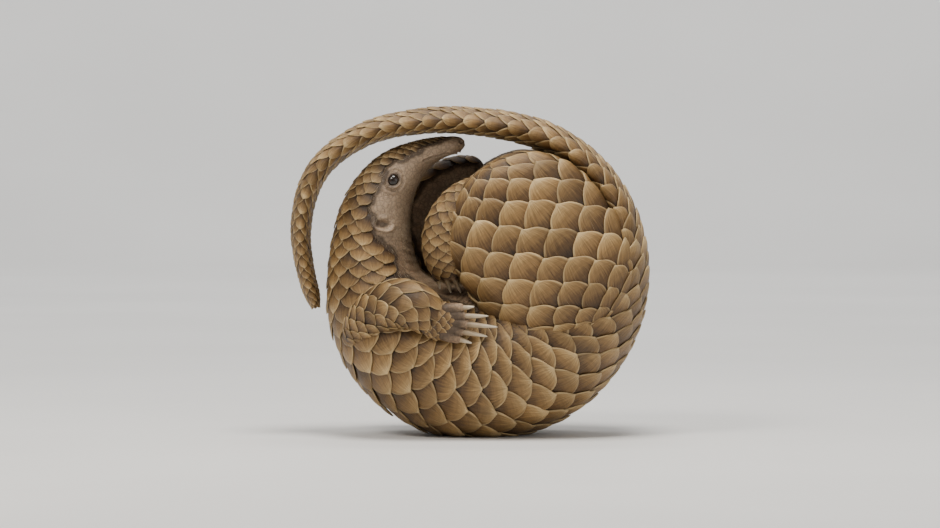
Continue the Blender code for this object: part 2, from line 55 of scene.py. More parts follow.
# Turn, radius of the back, radius of the belly, half width and sideways shift, in degrees and millimetres
BODY_LINE = (
    (97.0, 59.6, 57.4, 1.3, -8.6),
    (98.0, 60.9, 56.2, 3.4, -8.6),
    (100.0, 62.0, 55.2, 5.2, -8.7),
    (108.0, 63.9, 54.0, 7.2, -9.0),
    (118.0, 66.3, 51.6, 9.8, -9.0),
    (128.0, 68.8, 47.0, 13.0, -8.8),
    (138.0, 69.8, 42.0, 16.2, -8.2),
    (150.0, 69.6, 36.4, 19.2, -7.0),
    (165.0, 68.2, 31.0, 22.0, -4.8),
    (180.0, 68.4, 26.5, 26.0, -2.4),
    (200.0, 71.6, 16.5, 34.0, 0.0),
    (225.0, 74.2, 8.5, 41.5, 0.0),
    (250.0, 75.2, 6.0, 45.0, 0.0),
    (275.0, 75.4, 5.5, 46.0, 0.0),
    (300.0, 75.3, 8.0, 45.0, 0.0),
    (325.0, 75.2, 17.0, 41.5, 0.0),
    (345.0, 75.2, 32.0, 38.8, 0.0),
    (360.0, 75.0, 46.0, 36.8, 0.0),
    (375.0, 74.8, 56.0, 34.6, 0.0),
    (395.0, 74.6, 61.4, 32.2, 0.0),
    (420.0, 73.6, 61.4, 29.8, 0.0),
    (450.0, 73.0, 62.0, 27.2, 0.0),
    (473.0, 78.6, 68.2, 25.0, 0.0),
    (492.0, 86.6, 76.8, 22.6, 0.0),
    (508.0, 91.0, 81.8, 20.0, 0.0),
    (525.0, 88.0, 79.6, 16.6, 0.0),
    (540.0, 82.6, 75.2, 12.6, 0.0),
    (549.0, 79.6, 73.6, 8.6, 0.0),
    (552.0, 78.2, 74.2, 4.0, 0.0),
)
TAIL_TURNS = (355.0, 549.0)

# Points of the limbs in millimetres from the curl line, and half sizes across and out of each limb
HIND_HIP = (52.0, 31.0, -25.0)
HIND_KNEE = (0.0, 31.0, 47.0)
HIND_HALF_ACROSS = 36.5 * MM
HIND_HALF_OUT = 16.5 * MM
RIGHT_FOOT = ((4.0, 28.0, 38.0), (-24.0, 30.0, 24.0), (-12.0, 27.0, -2.0))
LEFT_FOOT = ((2.0, 29.0, 46.0), (-47.0, 30.0, 36.0), (-12.0, 27.0, -9.0))
FOOT_HALF_ACROSS = 10.5 * MM
FOOT_HALF_OUT = 8.5 * MM
FORE_PATH = ((-58.0, 18.0, -31.0), (-36.0, 48.0, 2.0), (-19.0, 42.0, -24.0))
FORE_HALF_ACROSS = 10.5 * MM
FORE_HALF_OUT = 9.0 * MM
FORE_PAW = (-17.5, 44.0, -20.5)
FORE_PAW_RADII = (10.5, 5.5, 8.5)

# Claw lengths in millimetres, from one side of the foot to the other
FORE_CLAWS = (8.0, 13.0, 16.0, 13.5, 8.5)
HIND_CLAWS = (6.0, 8.0, 9.0, 8.5, 6.5)
FORE_CLAW_RADIUS = 2.1 * MM
HIND_CLAW_RADIUS = 1.9 * MM
CLAW_SPREAD = 13.0 * MM

# Places on the head, as turn and share
EYE_PLACE = (133.0, 0.5)
EYE_RADIUS = 3.3 * MM
EYE_DEPTH = 1.7 * MM
EAR_PLACE = (153.0, 0.56)
NOSTRIL_PLACE = (98.6, 0.42)
MOUTH_LINE = ((117.0, 0.60), (111.0, 0.65), (105.5, 0.71), (101.8, 0.83), (100.6, 0.93), (100.4, 1.0))

# How far the skin of each limb lies under its plates, and how far the tail keeps plates and skin clear of it
THIGH_DEPTH = 1.3 * MM
FOOT_DEPTH = 0.7 * MM
ARM_DEPTH = 0.6 * MM
TAIL_COVER = 1.2 * MM
TAIL_GUARD = 2.9 * MM

# Turn, and the share of the half girth that the plates reach there
REACH = np.array(
    (
        (104.0, 0.20),
        (110.0, 0.32),
        (120.0, 0.34),
        (131.0, 0.31),
        (142.0, 0.36),
        (152.0, 0.42),
        (160.0, 0.46),
        (168.0, 0.60),
        (186.0, 0.68),
        (345.0, 0.68),
        (356.0, 0.72),
    )
)

# Distance between plates as a share of the half girth, and how much further apart rows are than columns
TRUNK_SPACING = 0.0825
TAIL_SPACING = 0.1
ROW_STRETCH = 1.6
TRUNK_STRETCH = ((105.0, 350.0), (ROW_STRETCH, ROW_STRETCH))
TAIL_STRETCH = ((354.0, 500.0, 549.0), (ROW_STRETCH, 1.75, 1.8))
PLATE_RISE = 2.3 * MM
RISE_PER_PITCH = 0.145
PLATE_WIDTH = 2.08

# A piece of plates along the spiral, its first and last turn and its seed
SPIRAL_PIECES = (
    ("plates_head", 0.0, 165.0, 11),
    ("plates_shoulders", 165.0, 262.0, 12),
    ("plates_rump", 262.0, 360.0, 13),
    ("plates_tail_root", 350.0, 435.0, 14),
    ("plates_tail_middle", 435.0, 500.0, 15),
    ("plates_tail_end", 500.0, 560.0, 16),
)
THIGH_REACH = ((0.10, 0.45, 0.64), (0.62, 0.56, 1.0))

# Random phases go up to nearly a full turn
PHASE = 6.28

# Places worked out at a time, so that little memory is needed
BATCH = 20000


# The surfaces of the solids


def smooth(rows, at):
    """The columns after the first, on a smooth curve through the rows, at values of the first column."""
    rows = np.asarray(rows, float)
    at = np.atleast_1d(np.asarray(at, float))
    knots, values = rows[:, 0], rows[:, 1:]
    slopes = np.gradient(values, knots, axis=0)
    low = np.clip(np.searchsorted(knots, at) - 1, 0, len(knots) - 2)
    span = (knots[low + 1] - knots[low])[:, None]
    u = np.clip((at[:, None] - knots[low][:, None]) / span, 0.0, 1.0)
    return (
        (2 * u**3 - 3 * u**2 + 1) * values[low]
        + (u**3 - 2 * u**2 + u) * span * slopes[low]
        + (3 * u**2 - 2 * u**3) * values[low + 1]
        + (u**3 - u**2) * span * slopes[low + 1]
    )


def unit(vectors):
    """The vectors at length 1: one, or a row of them."""
    return vectors / np.linalg.norm(vectors, axis=-1, keepdims=True)


def body_frame(turn):
    back, belly, half_width, shift = smooth(BODY_LINE, turn).T * MM
    angle = np.radians(np.atleast_1d(turn))
    nothing = np.zeros_like(angle)
    out = np.stack([np.cos(angle), nothing, np.sin(angle)], axis=1)
    middle = (back + belly)[:, None] / 2
    centre = out * middle + np.stack([nothing, shift, nothing], axis=1)
    centre += np.array([CURL_X, 0.0, CURL_Z])
    across = np.tile([0.0, 1.0, 0.0], (len(angle), 1))
    return centre, out, across, (back - belly) / 2, half_width


def limb_frame(path, side, half_out, half_across, fullness):
    """Sections of a limb that bends through the path's three points and flattens toward its side."""
    start, bend, end = path
    outward = np.array([0.0, side, 0.0])

    def frame_at(t):
        t = np.atleast_1d(np.asarray(t, float))
        u = t[:, None]
        centre = (1 - u) ** 2 * start + 2 * u * (1 - u) * bend + u**2 * end
        along = unit(2 * (1 - u) * (bend - start) + 2 * u * (end - bend))
        out = unit(outward - along * (along @ outward)[:, None])
        across = np.cross(along, out)
        swell = (1 - np.minimum(np.abs(2 * t - 1), 0.999) ** fullness) ** (1 / fullness)
        return centre, out, across, half_out * swell, half_across * swell

    return frame_at


def angle_at_share(half_depth, half_width, share):
    """The angle round an elliptical section at a share of its half girth."""
    grid = np.linspace(0.0, math.pi, 61)
    depth = half_depth[:, None] * np.cos(grid)
    width = half_width[:, None] * np.sin(grid)
    step = np.hypot(np.diff(depth, axis=1), np.diff(width, axis=1))
    run = np.concatenate([np.zeros((len(step), 1)), np.cumsum(step, axis=1)], axis=1)
    wanted = np.minimum(np.abs(share), 1.0) * run[:, -1]
    low = np.clip((run < wanted[:, None]).sum(axis=1) - 1, 0, len(grid) - 2)
    row = np.arange(len(low))
    part = (wanted - run[row, low]) / np.maximum(run[row, low + 1] - run[row, low], 1e-12)
    return np.sign(share) * (grid[low] + part * (grid[1] - grid[0]))


def surface(frame_at, t, share, lift):
    """Points at a share of the half girth, lifted square to the section's outline."""
    t, share, lift = np.broadcast_arrays(*(np.asarray(v, float) for v in (t, share, lift)))
    t, share, lift = t.ravel(), share.ravel(), lift.ravel()
    found = []
    for begin in range(0, len(t), BATCH):
        part = slice(begin, begin + BATCH)
        centre, out, across, half_depth, half_width = frame_at(t[part])
        round_share = (share[part] + 1.0) % 2.0 - 1.0
        angle = angle_at_share(half_depth, half_width, round_share)
        normal = unit(np.stack([np.cos(angle) / half_depth, np.sin(angle) / half_width], axis=1))
        outward = half_depth * np.cos(angle) + lift[part] * normal[:, 0]
        sideways = half_width * np.sin(angle) + lift[part] * normal[:, 1]
        found.append(centre + out * outward[:, None] + across * sideways[:, None])
    return np.concatenate(found)


def half_girth(frame_at, t):
    half_depth, half_width = frame_at(t)[3:]
    return math.pi * np.sqrt((half_depth**2 + half_width**2) / 2) * 0.985


def limb_point(point, side):
    return np.array([CURL_X + point[0] * MM, point[1] * MM * side, CURL_Z + point[2] * MM])


def foot_points(side):
    return [limb_point(p, side) for p in (RIGHT_FOOT if side == RIGHT else LEFT_FOOT)]


def thigh_frame(side):
    hip, knee = limb_point(HIND_HIP, side), limb_point(HIND_KNEE, side)
    return limb_frame((hip, (hip + knee) / 2, knee), side, HIND_HALF_OUT, HIND_HALF_ACROSS, 2.3)


def foot_frame(side):
    return limb_frame(foot_points(side), side, FOOT_HALF_OUT, FOOT_HALF_ACROSS, 3.2)


def arm_frame(side):
    return limb_frame([limb_point(p, side) for p in FORE_PATH], side, FORE_HALF_OUT, FORE_HALF_ACROSS, 3.0)


def paw_frame(side):
    """The forepaw's rounded back, from the wrist to the claws."""
    long, out, across = FORE_PAW_RADII
    x, y, z = FORE_PAW
    path = [limb_point((x + step, y, z), side) for step in (-long, 0.0, long)]
    return limb_frame(path, side, out * MM, across * MM, 2.0)


def evened(frame_at):
    """The same limb, with its places measured along the surface instead of along its middle line."""
    fine = (1 - np.cos(np.linspace(0.0, math.pi, 401))) / 2
    lines = [surface(frame_at, fine, share, 0.0) for share in (-0.5, 0.0, 0.5)]
    run = np.cumsum([0.0, *sum(np.linalg.norm(np.diff(line, axis=0), axis=1) for line in lines)])

    def even_at(t):
        return frame_at(np.interp(np.atleast_1d(t), run / run[-1], fine))

    return even_at


def surface_vectors(frame_at, t, share, lift, step):
    """Points over the surface, with unit vectors along and out of it."""
    points = surface(frame_at, t, share, lift)
    along = unit(surface(frame_at, t + step, share, lift) - points)
    out = surface(frame_at, t, share, lift + MM) - points
    out = unit(out - along * (along * out).sum(axis=1)[:, None])
    return points, along, out


def body_axes(place, side):
    """The body's surface point at a place, with unit vectors along, aside and out of the surface."""
    points, along, out = surface_vectors(body_frame, place[0], place[1] * side, 0.0, 0.06)
    return points[0], along[0], np.cross(out[0], along[0]), out[0]


def around(place, side, points):
    """How far each point lies along, aside and out of the body's surface at a place, in millimetres."""
    middle, along, aside, out = body_axes(place, side)
    here = points - middle
    return here @ along / MM, here @ aside / MM * side, here @ out / MM


def distance_from(place, side, points):
    """How far each point is from a place on the body, in millimetres."""
    return np.linalg.norm(points - body_axes(place, side)[0], axis=1) / MM


def step_up(value, low, high):
    """0 below low, 1 above high, smooth between."""
    u = np.clip((value - low) / (high - low), 0.0, 1.0)
    return u * u * (3 - 2 * u)


def bump(*distances):
    """1 where every distance is 0, falling smoothly to nearly 0 where one of them is 2."""
    return np.exp(-sum(distance**2 for distance in distances))


def softly_above_floor(points, knee=0.35 * MM):
    """Points pressed softly so that none is below the floor."""
    z = points[:, 2]
    points[:, 2] = np.where(z > 4 * knee, z, 0.5 * (z + np.sqrt(z * z + knee * knee)))
    return points


# Meshes


def mesh_object(name, points, faces, uv_maps=None, values=None):
    """A smooth object from points and faces, with UV maps given per corner and values given per point."""
    mesh = bpy.data.meshes.new(name)
    sizes = np.array([len(face) for face in faces])
    corners = np.concatenate([np.asarray(face) for face in faces]).astype(np.int32)
    mesh.vertices.add(len(points))
    mesh.vertices.foreach_set("co", np.asarray(points, np.float32).ravel())
    mesh.loops.add(len(corners))
    mesh.loops.foreach_set("vertex_index", corners)
    mesh.polygons.add(len(sizes))
    starts = np.concatenate([[0], np.cumsum(sizes)[:-1]]).astype(np.int32)
    mesh.polygons.foreach_set("loop_start", starts)
    mesh.update(calc_edges=True)
    for map_name, coordinates in (uv_maps or {}).items():
        layer = mesh.uv_layers.new(name=map_name)
        layer.data.foreach_set("uv", np.asarray(coordinates, np.float32).ravel())
    add_values(mesh, values or {})
    mesh.validate()
    return linked(name, mesh)


def add_values(mesh, values):
    for name, numbers in values.items():
        layer = mesh.attributes.new(name, "FLOAT", "POINT")
        layer.data.foreach_set("value", np.asarray(numbers, np.float32))


def linked(name, mesh):
    mesh.shade_smooth()
    obj = bpy.data.objects.new(name, mesh)
    bpy.context.scene.collection.objects.link(obj)
    return obj


def points_of(obj):
    points = np.empty(len(obj.data.vertices) * 3, np.float32)
    obj.data.vertices.foreach_get("co", points)
    return points.reshape(-1, 3)


def reworked(mesh, *operations):
    """The mesh after bmesh operations on all its faces."""
    shape = bmesh.new()
    shape.from_mesh(mesh)
    for operation in operations:
        operation(shape, faces=shape.faces)
    shape.to_mesh(mesh)
    shape.free()


def closed_grid(name, points, rows, columns):
    """A closed loft, with a cap on each end, in triangles and facing out."""
    i, j = (grid.ravel() for grid in np.meshgrid(np.arange(rows - 1), np.arange(columns), indexing="ij"))
    k = (j + 1) % columns
    here, after = i * columns, (i + 1) * columns
    quads = np.stack([here + j, here + k, after + k, after + j], axis=1)
    faces = [tuple(q) for q in quads]
    faces.append(tuple(range(columns)))
    faces.append(tuple((rows - 1) * columns + column for column in range(columns)))
    obj = mesh_object(name, points, faces)
    reworked(obj.data, bmesh.ops.recalc_face_normals, bmesh.ops.triangulate)
    return obj


def section_places(stations, sides):
    """Places all round the sections at the stations."""
    t, share = np.meshgrid(stations, np.arange(sides) * 2.0 / sides - 1.0, indexing="ij")
    return t.ravel(), share.ravel()


def lofted(name, frame_at, stations, sides, lift):
    points = surface(frame_at, *section_places(stations, sides), lift)
    return closed_grid(name, points, len(stations), sides)


def round_ended(count):
    return (1 - np.cos(np.pi * np.arange(count) / (count - 1))) / 2


def tube(name, path, radii, sides=20):
    """A closed tube with round ends through the path."""
    path = np.asarray(path, float)
    along = unit(np.gradient(path, axis=0))
    level = np.array([0.0, 1.0, 0.0])
    first = unit(level - along * (along @ level)[:, None])
    second = np.cross(along, first)

    def cap_ring(end, ahead, share):
        """A ring of a round end, from 0 at its point to 1 at the end of the path."""
        middle = path[end] + ahead * along[end] * radii[end] * (1 - share)
        reach = math.sqrt(1 - (1 - share) ** 2)
        return middle, first[end], second[end], radii[end] * max(reach, 0.12)

    rings = [cap_ring(0, -1, share) for share in (0.0, 0.35, 0.7)]
    rings += zip(path, first, second, radii)
    rings += [cap_ring(-1, 1, share) for share in (0.7, 0.35, 0.0)]
    angles = np.arange(sides) * 2 * math.pi / sides
    points = [
        middle + np.outer(np.cos(angles) * radius, a) + np.outer(np.sin(angles) * radius, b)
        for middle, a, b, radius in rings
    ]
    return closed_grid(name, np.concatenate(points), len(rings), sides)


def ellipsoid(name, centre, radii, axes=None):
    shape = bmesh.new()
    turned = Matrix.Identity(4) if axes is None else Matrix(np.stack(axes).T.tolist()).to_4x4()
    matrix = Matrix.Translation(centre) @ turned @ Matrix.Diagonal((*radii, 1.0))
    bmesh.ops.create_uvsphere(shape, u_segments=48, v_segments=32, radius=1.0, matrix=matrix)
    bmesh.ops.recalc_face_normals(shape, faces=shape.faces)
    mesh = bpy.data.meshes.new(name)
    shape.to_mesh(mesh)
    shape.free()
    return linked(name, mesh)


def joined(obj, others, operation="UNION"):
    """The object after a Boolean with these closed meshes, one after another, which are then removed."""
    for other in others:
        change = obj.modifiers.new("join", "BOOLEAN")
        change.operation = operation
        change.solver = "MANIFOLD"
        change.object = other
        bpy.context.view_layer.update()
        graph = bpy.context.evaluated_depsgraph_get()
        mesh = bpy.data.meshes.new_from_object(obj.evaluated_get(graph))
        obj.modifiers.clear()
        reworked(mesh, bmesh.ops.triangulate)
        obj.data = mesh
        bpy.data.objects.remove(other, do_unlink=True)
    return obj


# The skin. Its small forms are in millimetres, x toward the tail and y toward the belly


def eye_relief(x, y):
    """Thick lids round a hole that holds the eye, with a crease, a low brow and the corners of the eye."""
    oval = np.hypot(x / 3.3, y / 2.5)
    upper = step_up(-y, -2.5, 2.5)
    lids = (0.95 + 0.95 * upper) * bump((oval - 1.06) / 0.32)
    lids += (0.30 + 0.30 * upper) * bump((oval - 1.85) / 0.33)
    hole = -3.4 * (1.0 - step_up(np.hypot(x / 3.3, (y - 0.30) / 2.3), 0.60, 0.84))
    brow = 0.8 * bump(x / 6.5, (y + 5.6) / 2.6)
    crease = -0.4 * bump((oval - 1.5) / 0.12)
    corner = -0.5 * bump((np.abs(x) - 3.6) / 1.1, y / 0.55)
    return lids + hole + brow + crease + corner


def ear_relief(x, y):
    """A small ear: a fleshy flap behind a hollow, with a low lobe in front of it."""
    oval = np.hypot(x / 3.0, y / 4.7)
    behind = (0.5 + 0.5 * np.cos(np.arctan2(y / 4.7, x / 3.0))) ** 1.6
    flap = 2.5 * behind * bump((oval - 0.98) / 0.27)
    lobe = 0.7 * bump((x + 2.7) / 1.2, y / 1.7)
    hollow = -1.9 * np.exp(-((((x - 0.3) / 1.7) ** 2 + (y / 2.9) ** 2) ** 1.5))
    return flap + lobe + hollow


def mouth_relief(at, side):
    """A groove between low lips."""
    turns, shares = np.array(MOUTH_LINE).T
    knots = np.arange(len(turns))
    fine = np.linspace(0, len(turns) - 1, 240)
    line = surface(body_frame, np.interp(fine, knots, turns), np.interp(fine, knots, shares) * side, 0.0)

    # Distance to the nearest point of the line, for what lies near its box
    low, high = line.min(axis=0) - 4 * MM, line.max(axis=0) + 4 * MM
    close = np.flatnonzero(((at > low) & (at < high)).all(axis=1))
    away = np.full(len(at), 99.0)
    for begin in range(0, len(close), 4000):
        some = close[begin : begin + 4000]
        away[some] = np.linalg.norm(at[some, None] - line[None], axis=2).min(axis=1) / MM
    return np.where(away < 6.0, 0.42 * bump((away - 0.85) / 0.45) - 0.85 * bump(away / 0.33), 0.0)


def head_relief(t, share):
    """How far the bare head's surface rises over the smooth section at each place, in metres."""
    near = t < 172.0
    at = surface(body_frame, t[near], share[near], 0.0)
    part = np.zeros(len(at))
    for side in (RIGHT, LEFT):
        for place, relief in ((EYE_PLACE, eye_relief), (EAR_PLACE, ear_relief)):
            x, y, out = around(place, side, at)
            part += np.where(out > -9.0, relief(x, y), 0.0)
        away = distance_from(NOSTRIL_PLACE, side, at)
        part += -1.3 * (1.0 - step_up(away, 0.45, 1.15)) + 0.25 * bump((away - 1.5) / 0.4)
    for side in (RIGHT, LEFT):
        part += mouth_relief(at, side)
    rise = np.zeros_like(t)
    rise[near] = part * MM
    return rise


def covered(t, share):
    """1 where plates cover the body's skin and 0 where it is bare."""
    reach = np.where(t > 356.0, 1.2, np.interp(t, *REACH.T))
    return 1.0 - step_up(np.abs(share), reach - 0.01, reach + 0.07)


def skin_lift(t, share):
    """The skin's height: under the plates by the coat's depth, and at the outline where it is bare."""
    depth = np.interp(t, (100.0, 108.0, 150.0, 185.0), (0.0, 0.7, 1.0, 1.3)) * MM
    lift = -depth * covered(t, share)

    # Soft folds across the belly and throat, where the curl packs the skin
    folds = np.sin(np.radians(t) * 52.0 + 1.7 * np.sin(share * 9.0)) * 0.5
    folds += np.sin(np.radians(t) * 88.0 + share * 5.0) * 0.2
    on_belly = step_up(np.abs(share), 0.66, 0.82) * step_up(t, 140.0, 170.0)
    return lift + folds * 0.5 * MM * (on_belly * (1.0 - step_up(t, 340.0, 356.0)))


def make_skin():
    # Sections are closest together at the tip of the snout, and closer on the head than on the rest
    snout, head = np.linspace(97.0, 104.0, 34)[:-1], np.linspace(104.0, 163.0, 172)[:-1]
    turns = np.concatenate([snout, head, np.linspace(163.0, 552.0, 260)])
    sides = 184
    t, share = section_places(turns, sides)
    points = surface(body_frame, t, share, skin_lift(t, share) + head_relief(t, share))
    skin = closed_grid("skin", softly_above_floor(points), len(turns), sides)
    parts = []
    for side in (RIGHT, LEFT):
        thigh = lofted("thigh", thigh_frame(side), round_ended(44), 96, -THIGH_DEPTH)
        under_tail = lofted("under_tail", body_frame, np.arange(*TAIL_TURNS, 3.0), 64, TAIL_GUARD)
        parts.append(joined(thigh, [under_tail], "DIFFERENCE"))
        parts.append(lofted("foot", foot_frame(side), round_ended(40), 64, -FOOT_DEPTH))
        parts.append(lofted("arm", arm_frame(side), round_ended(40), 64, -ARM_DEPTH))
        parts.append(ellipsoid("paw", limb_point(FORE_PAW, side), [r * MM for r in FORE_PAW_RADII]))

        # Toes, from inside the foot to a little past the root of the claw
        for claws, steps, radii in (
            (fore_claws(side), (-4.5, -1.0, 1.6), (2.6, 2.7, 2.15)),
            (hind_claws(side), (-3.5, -0.5, 1.2), (2.3, 2.35, 1.9)),
        ):
            for base, heading, *_ in claws:
                path = [base + heading * step * MM for step in steps]
                parts.append(tube("toe", path, [radius * MM for radius in radii]))
    return joined(skin, parts)


# Claws


def claw_places(root, toward, side, lengths, bend):
    """Where each claw of a foot is rooted, its heading, length, way out of the foot and bend."""
    across = np.array([toward[2], 0.0, -toward[0]])
    out = np.array([0.0, side, 0.0])
    made = []
    for i, length in enumerate(lengths):
        aside = (i / 4 - 0.5) * CLAW_SPREAD
        base = root + across * aside - toward * abs(aside) * 0.45
        made.append((base, unit(toward + across * aside * 30.0), length * MM, out, bend))
    return made


def fore_claws(side):
    toward = unit(np.array([1.0, 0.0, -0.1]))
    root = limb_point(FORE_PAW, side) + toward * (FORE_PAW_RADII[0] - 1.5) * MM
    return claw_places(root + np.array([0.0, side * 2.5 * MM, 0.0]), toward, side, FORE_CLAWS, 0.08)


def hind_claws(side):
    start, end = foot_points(side)[1:]
    toward = unit(end - start)
    return claw_places(end - toward * 1.5 * MM, toward, side, HIND_CLAWS, 0.3)


def make_claws(name, places, radius):
    """Horn claws: deeper than wide, with a sharp back, a flat underside and a blunt point."""
    rings, sides = 22, 20
    u = np.linspace(-0.2, 1.0, rings)
    ahead = np.maximum(u, 0.0)
    thick = radius * (1.0 - 0.8 * ahead**1.5) * np.where(u > 0.97, 0.55, 1.0)
    angles = np.arange(sides) * 2 * math.pi / sides
    wide = np.sign(np.sin(angles)) * np.abs(np.sin(angles)) ** 1.15 * 0.74
    high = np.cos(angles) * np.where(np.cos(angles) > 0, 1.0, 0.72)
    points, faces, uvs = [], [], []
    for number, (base, heading, length, out, bend) in enumerate(places):
        middle = base + np.outer(length * u, heading) - np.outer(length * bend * ahead**2, out)
        aside = np.cross(heading, out)
        up = np.cross(aside, unit(np.gradient(middle, axis=0)))
        for i in range(rings):
            wear = 1.0 + 0.02 * math.sin(i * 2.1 + number)
            points.append(middle[i] + thick[i] * wear * (np.outer(high, up[i]) + np.outer(wide, aside)))
        first = number * rings * sides
        last = first + (rings - 1) * sides
        for i in range(rings - 1):
            for j in range(sides):
                corners = ((i, j), (i + 1, j), (i + 1, j + 1), (i, j + 1))
                faces.append([first + row * sides + column % sides for row, column in corners])
                uvs += [(row / (rings - 1), column / sides) for row, column in corners]
        for start, end, order in ((first, 0.0, range(sides)), (last, 1.0, range(sides - 1, -1, -1))):
            faces.append([start + j for j in order])
            uvs += [(end, j / sides) for j in order]
    obj = mesh_object(name, np.concatenate(points), faces, {"ClawUV": uvs})
    reworked(obj.data, bmesh.ops.recalc_face_normals)
    return obj


# The plates

PLATE_ROWS = np.array([0.0, 0.12, 0.24, 0.36, 0.47, 0.57, 0.66, 0.74, 0.81, 0.87, 0.92, 0.96, 0.985, 1.0])
PLATE_COLUMNS = np.array([-1.0, -0.965, -0.86, -0.66, -0.42, -0.2, 0.0, 0.2, 0.42, 0.66, 0.86, 0.965, 1.0])

# Where a plate begins and ends along its length, from its place
ROOT_END, TIP_END = -0.55, 0.76

# Where a plate goes: its t and share, length, width and rise in metres, t per metre, half the distance
# between rows in t, the half girth, how grey it is and the distance between columns in share
Place = namedtuple("Place", "t share long wide rise per_metre half_row girth zone spacing")


def plate_faces():
    """Faces of one closed plate, with each corner's place in its patch of the baked map and its UV place."""
    rows, columns = len(PLATE_ROWS), len(PLATE_COLUMNS)
    ring = [(0, j) for j in range(columns)] + [(i, columns - 1) for i in range(1, rows)]
    ring += [(rows - 1, j) for j in range(columns - 2, -1, -1)] + [(i, 0) for i in range(rows - 2, 0, -1)]
    on_top = {(i, j): i * columns + j for i in range(rows) for j in range(columns)}
    under = {place: rows * columns + k for k, place in enumerate(ring)}

    def top_place(i, j):
        return 0.06 + 0.66 * PLATE_ROWS[i], 0.08 + 0.84 * (PLATE_COLUMNS[j] + 1) / 2

    def wall_place(i, j):
        a, b = top_place(i, j)
        return 0.39 + (a - 0.39) * 1.10, 0.5 + (b - 0.5) * 1.10

    def under_place(i, j):
        return 0.81 + 0.17 * PLATE_ROWS[i], 0.1 + 0.8 * (PLATE_COLUMNS[j] + 1) / 2

    faces, patch, uv = [], [], []

    def add_face(corners):
        """A face from corners, each a row and column, the points' numbers and where its patch places are."""
        faces.append([numbers[c] for c, numbers, _ in corners])
        patch.extend(place_of(*c) for c, _, place_of in corners)
        uv.extend((PLATE_ROWS[i], (PLATE_COLUMNS[j] + 1) / 2) for (i, j), _, _ in corners)

    for i in range(rows - 1):
        for j in range(columns - 1):
            add_face([(c, on_top, top_place) for c in ((i, j), (i + 1, j), (i + 1, j + 1), (i, j + 1))])
    for here, after in zip(ring, ring[1:] + ring[:1]):
        rim = [(c, on_top, top_place) for c in (here, after)]
        add_face(rim + [(c, under, wall_place) for c in (after, here)])
    for i in range(rows - 1):
        corners = ((i, 0), (i, columns - 1), (i + 1, columns - 1), (i + 1, 0))
        add_face([(c, under, under_place) for c in corners])
    for i, order in ((0, range(columns - 1, -1, -1)), (rows - 1, range(columns))):
        add_face([((i, j), under, under_place) for j in order])
    return ring, faces, np.array(patch), np.array(uv)


def outline(u):
    """A plate's half width as a share of its greatest."""
    grown = 0.62 + 0.38 * np.sin(np.clip(u / 0.42, 0, 1) * math.pi / 2)
    s = np.clip((u - 0.42) / 0.58, 0, 1)
    return np.where(u < 0.42, grown, np.maximum((1 - s**1.9) ** 0.72, 0.10))


